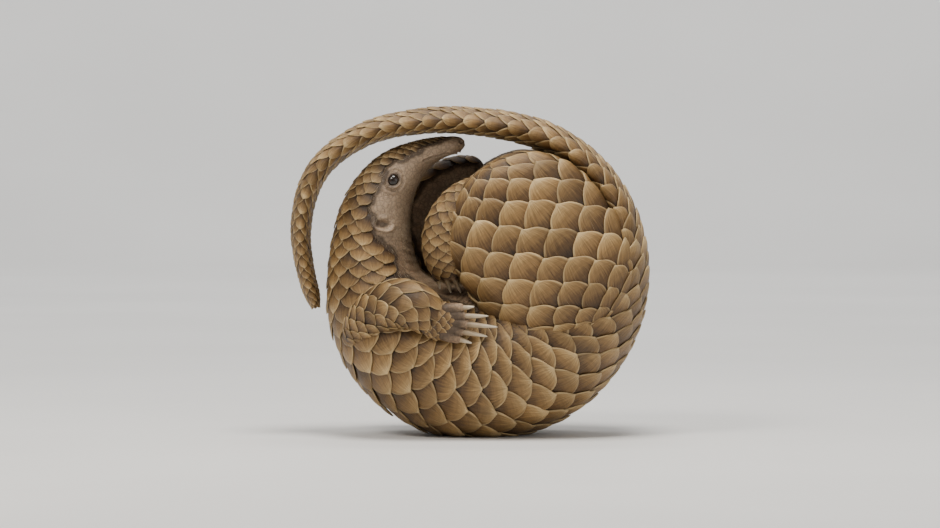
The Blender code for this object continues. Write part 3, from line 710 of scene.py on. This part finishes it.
def plates(name, frame_at, places, bounds_t, seed):
    """One piece of many closed plates, one for each place."""
    draw = np.random.default_rng(seed)
    ring, faces, patch, uv = plate_faces()
    count = len(places)
    columns = np.array(places, float).T[..., None, None]
    t0, share0, long, wide, rise, per_metre, half_row, girth, zone, spacing = columns

    def vary(amount):
        return draw.uniform(-amount, amount, (count, 1, 1))

    def any_phase():
        return PHASE * draw.random((count, 1, 1))

    u = PLATE_ROWS[None, :, None] * np.ones((1, 1, len(PLATE_COLUMNS)))
    v = PLATE_COLUMNS[None, None, :] * np.ones((1, len(PLATE_ROWS), 1))
    tip_shift = vary(0.09)
    a = ROOT_END + (TIP_END - ROOT_END) * u * (1 + vary(0.035))
    chip = 0.014 * np.sin(13 * v + any_phase()) + 0.010 * np.sin(29 * v + any_phase())
    a = a - (0.035 * v**2 + chip) * step_up(u, 0.8, 1.0)
    edge_wave = 1 + vary(0.05) + 0.022 * np.sin(9 * u + any_phase() + 2 * v)
    b = v * outline(u) * edge_wave / 2 + tip_shift * step_up(u, 0.45, 1.0) * 0.5
    twist = np.radians(vary(4.6))
    a_turned = a * np.cos(twist) - b * np.sin(twist) * wide / long
    b_turned = b * np.cos(twist) + a * np.sin(twist) * long / wide
    t = t0 + (a_turned + vary(0.028)) * long * per_metre
    share = share0 + (b_turned + vary(0.026)) * wide / girth

    # Height over the body's outline: root sunk, tip raised, rounded across, with a low keel and soft dents
    thick = (0.95 - 0.45 * u) * np.clip(rise / (2.3 * MM), 0.35, 1.0) * MM
    sunk = np.clip(rise / (2.0 * MM), 0.5, 1.0)
    slope = -1.05 * MM * sunk + (rise + MM * sunk) * u**0.92
    dome = -0.26 * rise * v**2 * (0.35 + 0.65 * u)
    keel = 0.10 * rise * bump(v / 0.16) * np.sin(np.clip(u * 1.05, 0, 1) * math.pi) ** 0.8
    curl = -0.20 * rise * step_up(u, 0.78, 1.0)
    phase = any_phase()
    dents = 0.035 * rise * (np.sin(7 * u + 3 * v + phase) + np.sin(11 * v - 5 * u + phase * 1.7))
    ribs = 0.014 * rise * np.cos(v * 27.0 + phase) * step_up(u, 0.2, 0.5)
    grooves = -0.02 * rise * np.maximum(np.sin((u + 0.10 * v**2) * 34.0 + phase), 0.3)
    lift = slope + dome + keel + curl + dents + ribs + grooves + vary(0.09) * rise
    edge = np.maximum(step_up(np.abs(v), 0.93, 1.0), step_up(u, 0.975, 1.0))
    top = surface(frame_at, t, share, lift - edge * 0.42 * thick).reshape(count, -1, 3)

    # The underside follows the rim, a thickness lower and a little further in
    ring_i, ring_j = np.array(ring).T
    inner = 0.97
    t_ring = t0[:, 0] + (t[:, ring_i, ring_j] - t0[:, 0]) * inner
    share_ring = share0[:, 0] + (share[:, ring_i, ring_j] - share0[:, 0]) * inner
    low_lift = lift[:, ring_i, ring_j] - thick[:, ring_i, 0]
    under = surface(frame_at, t_ring, share_ring, low_lift).reshape(count, -1, 3)

    points = np.concatenate([top, under], axis=1)
    verts = points.shape[1]
    points = softly_above_floor(points.reshape(-1, 3))
    all_faces = [[x + k * verts for x in face] for k in range(count) for face in faces]

    # Each plate's patch of the baked map lies at its root's place on the turn-and-share unwrap
    low_t, high_t = bounds_t
    baked_u = ((t0 - half_row - low_t + 2 * half_row * patch[:, 0]) / (high_t - low_t))[:, 0]
    baked_v = ((share0 - spacing + 1.12 + 2 * spacing * patch[:, 1]) / 2.24)[:, 0]
    uv_maps = {"OFBake": np.stack([baked_u, baked_v], axis=-1), "PlateUV": np.tile(uv, (count, 1))}
    values = {
        "tone": draw.normal(0.0, 1.0, count).clip(-2, 2),
        "seed": draw.random(count) * 50.0,
        "zone": zone.ravel(),
    }
    values = {key: np.repeat(numbers, verts) for key, numbers in values.items()}
    return mesh_object(name, points, all_faces, uv_maps, values)


def inside_tail(points, lift):
    """Which points lie inside the tail, grown by a lift."""
    x, z = points[:, 0] - CURL_X, points[:, 2] - CURL_Z
    radius = np.hypot(x, z)
    angle = np.degrees(np.arctan2(z, x)) % 360.0
    found = np.zeros(len(points), bool)
    for lap in (0.0, 360.0):
        turn = angle + lap
        near = np.flatnonzero((turn > TAIL_TURNS[0]) & (turn < TAIL_TURNS[1]))
        back, belly, half_width, shift = smooth(BODY_LINE, turn[near]).T * MM
        outward = (radius[near] - (back + belly) / 2) / ((back - belly) / 2 + lift)
        sideways = (points[near, 1] - shift) / (half_width + lift)
        found[near] |= outward**2 + sideways**2 < 1.0
    return found


def clear_of_tail(frame_at, places):
    """The places whose plates come out from under the tail for the better part."""
    a, b = (grid.ravel() for grid in np.meshgrid((-0.3, 0.0, 0.3, 0.6), (-0.3, 0.0, 0.3)))
    kept = []
    for place in places:
        t = place.t + a * place.long * place.per_metre
        share = place.share + b * place.wide / place.girth
        if inside_tail(surface(frame_at, t, share, place.rise), TAIL_COVER).mean() < 0.5:
            kept.append(place)
    return kept


def spiral_places(first, last, spacing, stretch, is_tail):
    """Places of the plates along the spiral in offset rows, all round the tail and down the trunk's sides."""
    places = []
    turn, row = first, 0
    columns = round(1.0 / spacing)
    while turn < last:
        line = smooth(BODY_LINE, turn)[0] * MM
        back, centre = float(line[0]), float(line[:2].mean())
        girth = float(half_girth(body_frame, turn)[0])
        pitch = float(np.interp(turn, *stretch)) * spacing * girth
        per_metre = math.degrees(1.0 / back)
        reach = float(np.interp(turn, *REACH.T))
        zone = float(1.0 - step_up(turn, 128.0, 172.0))
        for column in range(-columns + is_tail, columns + 1):
            share = column * spacing
            if (column + row) % 2 or (not is_tail and abs(share) > reach):
                continue
            local = back + (centre - back) * min(abs(share) / 0.5, 1.6)
            rise = min(RISE_PER_PITCH * pitch, PLATE_RISE) * float(np.clip(local / back, 0.3, 1.0)) ** 0.55
            half_row = pitch / 4 * per_metre
            wide = PLATE_WIDTH * spacing * girth
            places.append(Place(turn, share, pitch, wide, rise, per_metre, half_row, girth, zone, spacing))
        turn += pitch / 2 * per_metre
        row += 1
    return places


def limb_places(frame_at, first, last, gap, reach, most_rise, zone):
    """Places of the plates on a limb in offset rows, from its root to its end, within a reach."""
    places = []
    middle = float(half_girth(frame_at, 0.5)[0])
    spacing = gap / middle
    t, row = first, 0
    while t < last:
        girth = float(half_girth(frame_at, t)[0])
        size = (girth / middle) ** 0.6
        here = float(np.interp(t, *reach))
        before, after = max(t - 0.02, 0.0), min(t + 0.02, 1.0)
        ends = surface(frame_at, (before, after), 0.25, 0.0)
        length = float(np.linalg.norm(ends[1] - ends[0])) / (after - before)
        pitch = max(min(ROW_STRETCH * gap * size, 1.3 * (1.0 - t) * length), 2.4 * MM)
        rise = min(RISE_PER_PITCH * pitch, most_rise)
        wide = PLATE_WIDTH * spacing * girth
        columns = int(here / spacing) + 1
        for column in range(-columns, columns + 1):
            share = column * spacing
            if (column + row) % 2 or abs(share) > here:
                continue
            half_row = pitch / 4 / length
            places.append(Place(t, share, pitch, wide, rise, 1.0 / length, half_row, girth, zone, spacing))
        t += pitch / 2 / length
        row += 1
    return places


# Hair


def hairs(name, roots, headings, bends, lengths, radius, corner, tone):
    """One piece of tapered solid hairs, each with a small patch of the baked map at its root's place."""
    count = len(roots)
    side = unit(np.cross(headings, np.array([0.31, 0.22, 0.92])))
    up = np.cross(side, headings)
    rings = []
    for step, taper in ((-0.08, 1.0), (0.3, 0.8), (0.62, 0.55), (0.86, 0.28)):
        middle = roots + (headings * step + bends * max(step, 0.0) ** 2) * lengths[:, None]
        for turn in (0.0, 2.0944, 4.1888):
            rings.append(middle + (side * math.cos(turn) + up * math.sin(turn)) * taper * radius)
    rings.append(roots + (headings + bends) * lengths[:, None])
    points = softly_above_floor(np.stack(rings, axis=1).reshape(-1, 3))
    faces = [(2, 1, 0)]
    for i in range(3):
        for j in range(3):
            k = (j + 1) % 3
            faces.append((3 * i + j, 3 * i + k, 3 * i + 3 + k, 3 * i + 3 + j))
    faces += [(9 + j, 9 + (j + 1) % 3, 12) for j in range(3)]
    spots = np.array([(0.001 * (i // 3), 0.0014 * (i % 3)) for i in range(12)] + [(0.003, 0.0014)])
    patch = np.concatenate([spots[list(face)] for face in faces])
    baked = (corner[:, None, :] + patch[None]).reshape(-1, 2)
    all_faces = [[x + 13 * k for x in face] for k in range(count) for face in faces]
    tones = np.repeat(tone + 0.5 * np.random.default_rng(count).random(count), 13)
    piece = mesh_object(name, points, all_faces, {"OFBake": baked}, {"tone": tones})
    return dress(piece, HAIR_MATERIAL)


def gap_hairs(name, frame_at, places, bounds_t, seed):
    """A few short hairs that come out from under the tip of each plate."""
    draw = np.random.default_rng(seed)
    plate = Place(*np.repeat(np.array(places, float), 3, axis=0).T)
    count = len(plate.t)
    which = np.tile((-0.24, 0.0, 0.24), len(places))
    offset = which + draw.uniform(-0.09, 0.09, count)
    t = plate.t + draw.uniform(0.48, 0.60, count) * plate.long * plate.per_metre
    share = plate.share + offset * plate.wide / plate.girth
    step = 0.2 * MM * plate.per_metre.mean()
    points, along, out = surface_vectors(frame_at, t, share, plate.rise * 0.42, step)
    aside = np.cross(out, along)
    stand, lean = draw.uniform(0.02, 0.16, count)[:, None], draw.normal(0, 0.12, count)[:, None]
    headings = unit(along + out * stand + aside * lean)
    bends = out * -0.05 + aside * draw.normal(0, 0.10, count)[:, None]
    lengths = plate.long * draw.uniform(0.26, 0.42, count)

    # None near the floor, and on the thighs, whose places end at 1, none that goes into the tail
    ends_inside = inside_tail(points + headings * lengths[:, None], TAIL_GUARD)
    kept = (points[:, 2] > 4 * MM) & ((plate.t > 1.5) | ~ends_inside)
    low_t, high_t = bounds_t
    u = (plate.t + which * 0.2 * plate.long * plate.per_metre - low_t) / (high_t - low_t)
    corner = np.stack([u, (share + 1.05) / 2.15], axis=1)
    hairs(name, points[kept], headings[kept], bends[kept], lengths[kept], 0.06 * MM, corner[kept], 0.0)


def make_skin_hairs():
    """Sparse pale bristles on the bare face, throat and belly, all lying back from the snout."""
    for name, first, last, rows, columns, shortest, longest, stand, seed in (
        ("hair_face", 101.0, 166.0, 52, 22, 1.6, 3.6, 0.42, 71),
        ("hair_belly", 166.0, 350.0, 84, 12, 4.0, 8.0, 0.45, 72),
    ):
        draw = np.random.default_rng(seed)
        cells = np.meshgrid(np.arange(rows), np.arange(columns), (-1, 1), indexing="ij")
        i, j, side = (grid.ravel() for grid in cells)
        t = first + (i + draw.uniform(0.12, 0.88, len(i))) * (last - first) / rows
        reach = np.interp(t, *REACH.T)
        part = (j + draw.uniform(0.12, 0.88, len(i))) / columns
        share = side * (reach - 0.04 + (1.0 - reach + 0.04) * part)
        lift = skin_lift(t, share) + head_relief(t, share) - 0.1 * MM
        points, along, out = surface_vectors(body_frame, t, share, lift, 0.3)
        aside = np.cross(out, along)
        kept = draw.random(len(t)) < 0.85
        for eye_side in (RIGHT, LEFT):
            for place, clear in ((EYE_PLACE, 3.4), (NOSTRIL_PLACE, 3.2), (EAR_PLACE, 3.0)):
                kept &= distance_from(place, eye_side, points) > clear
        lean = stand * draw.uniform(0.5, 1.5, len(t))
        headings = unit(along + out * lean[:, None] + aside * draw.normal(0, 0.22, len(t))[:, None])
        bends = out * -0.22 + aside * draw.normal(0, 0.12, len(t))[:, None]
        lengths = draw.uniform(shortest, longest, len(t)) * MM
        if name == "hair_face":
            lengths *= 0.45 + 0.55 * step_up(t, 104.0, 135.0)
        corner = np.stack([(i + 0.2) / rows, (side * (j + 0.3) / columns + 1.0) / 2.02], axis=1)
        hairs(name, points[kept], headings[kept], bends[kept], lengths[kept], 0.055 * MM, corner[kept], 0.45)


# Materials


class Shading:
    """A node material under construction."""

    def __init__(self, name):
        self.material = bpy.data.materials.new(name)
        self.material.use_nodes = True
        self.tree = self.material.node_tree
        self.shader = self.tree.nodes["Principled BSDF"]

    def node(self, kind, inputs=None, **settings):
        made = self.tree.nodes.new(kind)
        for key, value in settings.items():
            setattr(made, key, value)
        for key, value in (inputs or {}).items():
            self.feed(made.inputs[key], value)
        return made

    def feed(self, socket, value):
        if isinstance(value, bpy.types.NodeSocket):
            self.tree.links.new(value, socket)
        else:
            socket.default_value = value

    def math(self, operation, *values):
        return self.node("ShaderNodeMath", dict(enumerate(values)), operation=operation).outputs[0]

    def swing(self, value, amount, around=1.0):
        """A noise that swings by an amount around a number."""
        return self.math("MULTIPLY_ADD", self.math("SUBTRACT", value, 0.5), amount, around)

    def shifted(self, value, noise, amount):
        """A value that a noise shifts to either side."""
        return self.math("ADD", value, self.math("MULTIPLY", self.math("SUBTRACT", noise, 0.5), amount))

    def mix(self, share, first, second, blend="MIX"):
        inputs = {0: share, 6: first, 7: second}
        return self.node("ShaderNodeMix", inputs, data_type="RGBA", blend_type=blend).outputs[2]

    def tinted(self, colour, mask, amount, tint):
        """A colour mixed with a tint by an amount of a mask."""
        return self.mix(self.math("MULTIPLY", mask, amount), colour, tint)

    def ramp(self, value, *stops):
        """A colour for each value, eased between stops of a place and a colour."""
        made = self.node("ShaderNodeValToRGB")
        made.color_ramp.interpolation = "EASE"
        elements = made.color_ramp.elements
        while len(elements) < len(stops):
            elements.new(0.5)
        for element, (position, colour) in zip(elements, stops):
            element.position = position
            element.color = (*colour, 1.0)
        self.feed(made.inputs[0], value)
        return made.outputs[0]

    def eased(self, value, low, high):
        inputs = {"From Min": low, "From Max": high, "Value": value}
        return self.node("ShaderNodeMapRange", inputs, interpolation_type="SMOOTHSTEP").outputs[0]

    def noise(self, vector, scale, detail, roughness, distortion=0.0):
        inputs = {"Vector": vector, "Scale": scale, "Detail": detail, "Roughness": roughness}
        return self.node("ShaderNodeTexNoise", {**inputs, "Distortion": distortion}).outputs["Fac"]

    def streaks(self, along, across, seed, detail, roughness, distortion=0.0):
        """Noise over a plate or claw, stretched by a scale along it and a scale across it."""
        inputs = {0: self.math("MULTIPLY", *along), 1: self.math("MULTIPLY", *across), 2: seed}
        at = self.node("ShaderNodeCombineXYZ", inputs).outputs[0]
        return self.noise(at, 1.0, detail, roughness, distortion)

    def value_of(self, attribute):
        return self.node("ShaderNodeAttribute", attribute_name=attribute).outputs["Fac"]

    def uv(self, name):
        """The two coordinates of a UV map."""
        uv = self.node("ShaderNodeUVMap", uv_map=name).outputs[0]
        split = self.node("ShaderNodeSeparateXYZ", {0: uv})
        return split.outputs[0], split.outputs[1]

    def place(self):
        return self.node("ShaderNodeTexCoord").outputs["Object"]

    def finish(self, colour, roughness, height, distance, strength, specular):
        self.feed(self.shader.inputs["Base Color"], colour)
        self.feed(self.shader.inputs["Roughness"], roughness)
        self.shader.inputs["Specular IOR Level"].default_value = specular
        bump = self.node("ShaderNodeBump", {"Height": height, "Strength": strength, "Distance": distance})
        self.feed(self.shader.inputs["Normal"], bump.outputs[0])
        return self.material


def plate_material():
    """Horn: dark root under painted shade, tan middle, pale worn tip and edges, with ribs and growth lines."""
    m = Shading("horn_plate")
    u, v = m.uv("PlateUV")
    seed, tone, zone = m.value_of("seed"), m.value_of("tone"), m.value_of("zone")
    place = m.place()
    aside = m.math("ABSOLUTE", m.math("MULTIPLY_ADD", v, 2.0, -1.0))

    # Ribs run from root to tip, and growth lines across, bowed with the tip
    ribs = m.streaks((u, 2.2), (v, 26.0), seed, 4.0, 0.6, 0.15)
    fine = m.streaks((u, 5.0), (v, 90.0), seed, 2.0, 0.6)
    bowed = m.math("ADD", u, m.math("MULTIPLY", m.math("MULTIPLY", aside, aside), 0.14))
    lines = m.streaks((bowed, 26.0), (v, 1.6), seed, 3.0, 0.6, 0.1)
    blotch = m.noise(place, 70.0, 3.0, 0.6)
    broad = m.noise(place, 22.0, 2.0, 0.5)

    # The root-to-tip run of colour, shifted by noise and by each plate's own tone
    run = m.shifted(m.shifted(u, ribs, 0.34), broad, 0.5)
    run = m.math("ADD", run, m.math("MULTIPLY", tone, 0.035))
    horn = m.ramp(
        run,
        (0.20, (0.028, 0.013, 0.005)),
        (0.44, (0.090, 0.047, 0.016)),
        (0.68, (0.188, 0.108, 0.039)),
        (0.87, (0.284, 0.178, 0.071)),
        (1.00, (0.410, 0.284, 0.133)),
    )
    grey = m.ramp(
        run,
        (0.15, (0.034, 0.022, 0.012)),
        (0.50, (0.104, 0.071, 0.039)),
        (0.80, (0.208, 0.150, 0.086)),
        (1.00, (0.330, 0.254, 0.156)),
    )
    colour = m.tinted(horn, zone, 0.35, grey)

    # Worn pale edges, streaks along the ribs and lines, and painted shade toward the covered root
    edge = m.math("MAXIMUM", m.eased(aside, 0.80, 0.99), m.eased(u, 0.90, 1.0))
    edge = m.math("MULTIPLY", edge, m.eased(u, 0.35, 0.75))
    edge = m.math("MULTIPLY", edge, m.math("MULTIPLY_ADD", blotch, 0.9, 0.15))
    colour = m.mix(edge, colour, (0.52, 0.385, 0.20, 1.0))
    streak = m.swing(ribs, 1.1)
    streak = m.math("MULTIPLY", streak, m.swing(lines, 0.55))
    streak = m.math("MULTIPLY", streak, m.swing(fine, 0.35))
    streak = m.math("MULTIPLY", streak, m.math("MULTIPLY_ADD", tone, 0.12, 1.0))
    shade = m.node("ShaderNodeCombineXYZ", {0: streak, 1: streak, 2: streak}).outputs[0]
    colour = m.mix(1.0, colour, shade, "MULTIPLY")
    # Painted shade toward the root, where the plate in front covers it, broken up by blotchy noise
    painted_root_shade = m.eased(m.math("ADD", blotch, m.math("MULTIPLY", u, -0.35)), 0.30, 0.55)
    colour = m.tinted(colour, painted_root_shade, 0.35, (0.055, 0.040, 0.026, 1.0))

    roughness = m.math("MULTIPLY_ADD", ribs, 0.30, 0.36)
    height = m.math("ADD", m.math("MULTIPLY", ribs, 0.8), m.math("MULTIPLY", fine, 0.25))
    height = m.math("ADD", height, m.math("MULTIPLY", lines, 0.55))
    return m.finish(colour, roughness, height, 0.00022, 0.9, 0.33)


def skin_material():
    """Bare skin: greyer on the head, wrinkled, freckled, dark lids, painted shade in creases, pits and by
    plates.
    """
    m = Shading("bare_skin")
    place = m.place()
    head, lids_and_pit_shade = m.value_of("head"), m.value_of("lids_and_pit_shade")
    large = m.noise(place, 60.0, 4.0, 0.6)
    small = m.noise(place, 420.0, 4.0, 0.6)
    cell_inputs = {"Vector": place, "Scale": 520.0, "Randomness": 1.0}
    cells = m.node("ShaderNodeTexVoronoi", cell_inputs, feature="DISTANCE_TO_EDGE")
    creases = m.eased(cells.outputs["Distance"], 0.0, 0.16)
    warm = m.ramp(
        large,
        (0.25, (0.175, 0.108, 0.060)),
        (0.50, (0.300, 0.198, 0.118)),
        (0.78, (0.430, 0.308, 0.200)),
    )
    grey = m.ramp(
        large,
        (0.25, (0.190, 0.128, 0.080)),
        (0.50, (0.320, 0.230, 0.151)),
        (0.80, (0.460, 0.350, 0.242)),
    )
    colour = m.tinted(warm, head, 0.85, grey)
    colour = m.tinted(colour, m.eased(small, 0.60, 0.74), 0.30, (0.045, 0.034, 0.026, 1.0))
    # Painted shade in the creases between the wrinkle cells
    colour = m.tinted(colour, m.math("SUBTRACT", 1.0, creases), 0.35, (0.050, 0.036, 0.028, 1.0))
    # Dark lids, and painted shade in the nostril pits and ear hollows
    colour = m.tinted(colour, lids_and_pit_shade, 0.7, (0.045, 0.034, 0.028, 1.0))
    # Painted shade on the skin near and under the plates
    colour = m.tinted(colour, m.value_of("under"), 0.85, (0.040, 0.024, 0.013, 1.0))
    roughness = m.math("MULTIPLY_ADD", small, 0.25, 0.48)
    height = m.math("ADD", m.math("MULTIPLY", creases, 0.6), m.math("MULTIPLY", small, 0.8))
    m.shader.inputs["Subsurface Weight"].default_value = 0.06
    m.shader.inputs["Subsurface Radius"].default_value = (0.002, 0.001, 0.0006)
    return m.finish(colour, roughness, height, 0.00025, 0.8, 0.4)


def claw_material():
    """Claws: brown horn at the root that turns pale toward the point, streaked along and ringed across."""
    m = Shading("claw_horn")
    u, v = m.uv("ClawUV")
    place = m.place()
    streaks = m.streaks((u, 3.0), (v, 34.0), 0.4, 4.0, 0.6, 0.2)
    rings = m.streaks((u, 30.0), (v, 1.5), 2.2, 2.0, 0.5)
    patchy = m.noise(place, 240.0, 3.0, 0.5)
    colour = m.ramp(
        m.shifted(m.shifted(u, streaks, 0.4), patchy, 0.3),
        (0.20, (0.165, 0.115, 0.068)),
        (0.50, (0.330, 0.245, 0.150)),
        (0.80, (0.520, 0.430, 0.300)),
        (1.00, (0.660, 0.590, 0.460)),
    )
    height = m.math("ADD", streaks, m.math("MULTIPLY", rings, 0.7))
    return m.finish(colour, m.math("MULTIPLY_ADD", streaks, 0.25, 0.28), height, 0.00012, 0.8, 0.5)


def hair_material():
    """Straw-coloured hair, paler on some hairs and browner on others."""
    m = Shading("hair")
    blotch = m.noise(m.place(), 260.0, 2.0, 0.5)
    run = m.math("ADD", m.math("MULTIPLY", m.value_of("tone"), 0.7), m.math("MULTIPLY", blotch, 0.4))
    colour = m.ramp(
        run,
        (0.15, (0.120, 0.078, 0.040)),
        (0.55, (0.245, 0.175, 0.098)),
        (0.95, (0.480, 0.385, 0.250)),
    )
    return m.finish(colour, m.math("MULTIPLY_ADD", blotch, 0.2, 0.4), blotch, 0.00002, 0.3, 0.4)


def eye_material():
    """A wet, nearly black brown eye."""
    m = Shading("wet_eye")
    place = m.place()
    cloud = m.noise(place, 900.0, 3.0, 0.6)
    colour = m.ramp(cloud, (0.3, (0.006, 0.004, 0.003)), (0.75, (0.028, 0.016, 0.009)))
    film = m.noise(place, 1500.0, 2.0, 0.5)
    m.shader.inputs["Coat Weight"].default_value = 0.25
    m.shader.inputs["Coat Roughness"].default_value = 0.06
    return m.finish(colour, m.math("MULTIPLY_ADD", cloud, 0.10, 0.10), film, 0.00003, 0.3, 0.35)


def floor_material():
    m = Shading("pale_floor")
    place = m.place()
    cloud = m.noise(place, 3.0, 3.0, 0.5)
    colour = m.ramp(cloud, (0.3, (0.70, 0.69, 0.67)), (0.7, (0.74, 0.73, 0.71)))
    grain = m.noise(place, 900.0, 2.0, 0.5)
    return m.finish(colour, m.math("MULTIPLY_ADD", cloud, 0.08, 0.70), grain, 0.00005, 0.4, 0.3)


# Pieces

PLATE_MATERIAL = plate_material()
SKIN_MATERIAL = skin_material()
CLAW_MATERIAL = claw_material()
EYE_MATERIAL = eye_material()
HAIR_MATERIAL = hair_material()

FLESH = ("head", "neck", "torso_shoulders", "torso_back", "torso_rump")
FLESH += ("tail_1", "tail_2", "tail_3", "tail_4", "tail_5")
FLESH += ("hindleg_right", "hindleg_left", "foreleg_right", "foreleg_left")
FLESH += ("hindfoot_right", "hindfoot_left", "ear_right", "ear_left")


def dress(obj, material):
    obj.data.materials.clear()
    obj.data.materials.append(material)
    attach(obj, "root")
    return obj


def skin_values(skin, pieces):
    """Marks the head, dark lids, and painted shade in nostrils, ear hollows and under plates, for the material.
    """
    points = points_of(skin).astype(float)
    x, z = points[:, 0] - CURL_X, points[:, 2] - CURL_Z
    radius, angle = np.hypot(x, z), np.degrees(np.arctan2(z, x)) % 360.0
    tail_inner = np.interp(angle, (90.0, 113.0, 132.0, 148.0, 165.0), (59.5, 67.0, 75.5, 79.0, 78.0)) * MM
    head = (1.0 - step_up(angle, 150.0, 185.0)) * step_up(angle, 80.0, 90.0) * (radius < tail_inner)
    lids_and_pit_shade = np.zeros(len(points))
    for side in (RIGHT, LEFT):
        x, y, _ = around(EYE_PLACE, side, points)
        near = distance_from(EYE_PLACE, side, points) < 9.0
        rim = 1.0 - step_up(np.hypot(x / 3.3, y / 2.5), 0.95, 1.35)
        lids_and_pit_shade = np.maximum(lids_and_pit_shade, np.where(near, rim, 0.0))
        # Painted shade in the nostril pits
        lids_and_pit_shade = np.maximum(lids_and_pit_shade, 1.0 - step_up(distance_from(NOSTRIL_PLACE, side, points), 0.7, 1.6))
        # Painted shade in the ear's hollow
        x, y, _ = around(EAR_PLACE, side, points)
        near = distance_from(EAR_PLACE, side, points) < 9.0
        hollow = 0.8 - 0.8 * step_up(np.hypot((x - 0.3) / 1.7, y / 2.9), 0.4, 1.1)
        lids_and_pit_shade = np.maximum(lids_and_pit_shade, np.where(near, hollow, 0.0))
    # Painted shade on the skin near and under plates: darker the closer a plate's point lies
    over = np.concatenate([points_of(piece)[::2] for piece in pieces])
    tree = KDTree(len(over))
    for i, point in enumerate(over.tolist()):
        tree.insert(point, i)
    tree.balance()
    away = np.array([tree.find(point)[2] for point in points.tolist()])
    add_values(skin.data, {"head": head, "lids_and_pit_shade": lids_and_pit_shade, "under": 1.0 - step_up(away / MM, 1.3, 2.6)})


def make_animal():
    skin = make_skin()
    skin.data.shade_smooth()
    dress(skin, SKIN_MATERIAL)
    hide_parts(*FLESH)

    for side, word in ((RIGHT, "right"), (LEFT, "left")):
        point, along, aside, out = body_axes(EYE_PLACE, side)
        eye = ellipsoid("eyeball_" + word, point - out * EYE_DEPTH, (EYE_RADIUS,) * 3, (along, aside, out))
        dress(eye, EYE_MATERIAL)
        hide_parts("eye_" + word)
        dress(make_claws("fore_claws_" + word, fore_claws(side), FORE_CLAW_RADIUS), CLAW_MATERIAL)
        dress(make_claws("hind_claws_" + word, hind_claws(side), HIND_CLAW_RADIUS), CLAW_MATERIAL)

    pieces = []
    trunk = spiral_places(105.0, 350.0, TRUNK_SPACING, TRUNK_STRETCH, False)
    tail = spiral_places(354.0, 552.2, TAIL_SPACING, TAIL_STRETCH, True)
    for name, low, high, seed in SPIRAL_PIECES:
        some = [p for p in (tail if "tail" in name else trunk) if low <= p.t < high]
        bounds_t = min(p.t - p.half_row for p in some), max(p.t + p.half_row for p in some)
        pieces.append(dress(plates(name, body_frame, some, bounds_t, seed), PLATE_MATERIAL))

    # A limb's frame, first and last place, distance between columns, reach, rise and greyness
    for side, word in ((RIGHT, "right"), (LEFT, "left")):
        for name, limb, first, last, gap, reach, rise, zone in (
            ("thigh", thigh_frame, 0.06, 0.984, 9.6, THIGH_REACH, 2.3, 0.0),
            ("foot", foot_frame, 0.05, 0.87, 3.9, ((0.0, 1.0), (0.70, 0.70)), 1.0, 0.25),
            ("arm", arm_frame, 0.09, 0.87, 4.4, ((0.0, 1.0), (0.66, 0.66)), 1.1, 0.1),
            ("paw", paw_frame, 0.20, 0.82, 2.6, ((0.0, 1.0), (0.52, 0.52)), 0.6, 0.2),
        ):
            frame_at = evened(limb(side))
            bounds_t = (-0.05, 1.0)
            places = limb_places(frame_at, first, last, gap * MM, reach, rise * MM, zone)
            if name == "thigh":
                places = clear_of_tail(frame_at, places)
                gap_hairs("hair_thigh_" + word, frame_at, places, bounds_t, 60 + side)
            seed = 20 + side + 3 * len(name)
            piece = plates("plates_" + name + "_" + word, frame_at, places, bounds_t, seed)
            pieces.append(dress(piece, PLATE_MATERIAL))

    skin_values(skin, pieces)
    gap_hairs("hair_trunk", body_frame, [p for p in trunk if p.t > 150.0], (100.0, 360.0), 60)
    make_skin_hairs()


make_animal()


# Floor, light and camera

# Name, place, aim, size in metres, power in watts and colour
ANIMAL = (0.0, 0.0, 0.07)
LIGHTS = (
    ("key", (-0.55, -0.75, 0.95), ANIMAL, 0.40, 8.0, (1.0, 0.95, 0.88)),
    ("fill", (0.9, -0.8, 0.45), ANIMAL, 0.9, 2.8, (1.0, 0.97, 0.93)),
    ("top", (0.05, -0.22, 1.1), ANIMAL, 0.5, 12.0, (1.0, 0.97, 0.92)),
    ("backdrop", (0.0, 1.1, 2.3), (0.0, 3.0, 0.8), 1.4, 60.0, (1.0, 1.0, 1.0)),
)


def make_stage():
    """A floor that bends up into a wall far behind the animal."""
    width, depth, rise, bend = 8.0, 3.0, 3.0, 0.9
    profile = [(-3.5, 0.0), (depth - bend, 0.0)]
    for angle in np.linspace(0.0, math.pi / 2, 24)[1:]:
        profile.append((depth - bend + bend * math.sin(angle), bend - bend * math.cos(angle)))
    profile.append((depth, rise))
    points = [(x, y, z) for y, z in profile for x in (-width / 2, width / 2)]
    faces = [(2 * i, 2 * i + 1, 2 * i + 3, 2 * i + 2) for i in range(len(profile) - 1)]
    floor = mesh_object("floor", np.array(points), faces)
    floor.data.materials.append(floor_material())


def aimed(name, data, place, aim):
    """An object for a light or camera at a place, turned to what it aims at."""
    obj = bpy.data.objects.new(name, data)
    obj.location = place
    obj.rotation_euler = (Vector(aim) - Vector(place)).to_track_quat("-Z", "Y").to_euler()
    bpy.context.scene.collection.objects.link(obj)
    return obj


make_stage()
for name, place, aim, size, power, colour in LIGHTS:
    light = bpy.data.lights.new(name, "AREA")
    light.shape = "DISK"
    light.size = size
    light.energy = power
    light.color = colour
    aimed(name, light, place, aim)

world = bpy.data.worlds.new("soft_room")
world.use_nodes = True
background = world.node_tree.nodes["Background"]
background.inputs[0].default_value = (0.92, 0.93, 0.95, 1.0)
background.inputs[1].default_value = 0.36
bpy.context.scene.world = world

CAMERA_DISTANCE = 2.24
CAMERA_RISE = math.radians(2.0)
CAMERA_AIM = Vector((0.0, 0.0, 0.077))
camera = bpy.data.cameras.new("camera")
camera.lens = 190.0
camera.sensor_width = 36.0
camera.clip_start = 0.05
camera_place = CAMERA_AIM + CAMERA_DISTANCE * Vector((0.0, -math.cos(CAMERA_RISE), math.sin(CAMERA_RISE)))
bpy.context.scene.camera = aimed("camera", camera, camera_place, CAMERA_AIM)
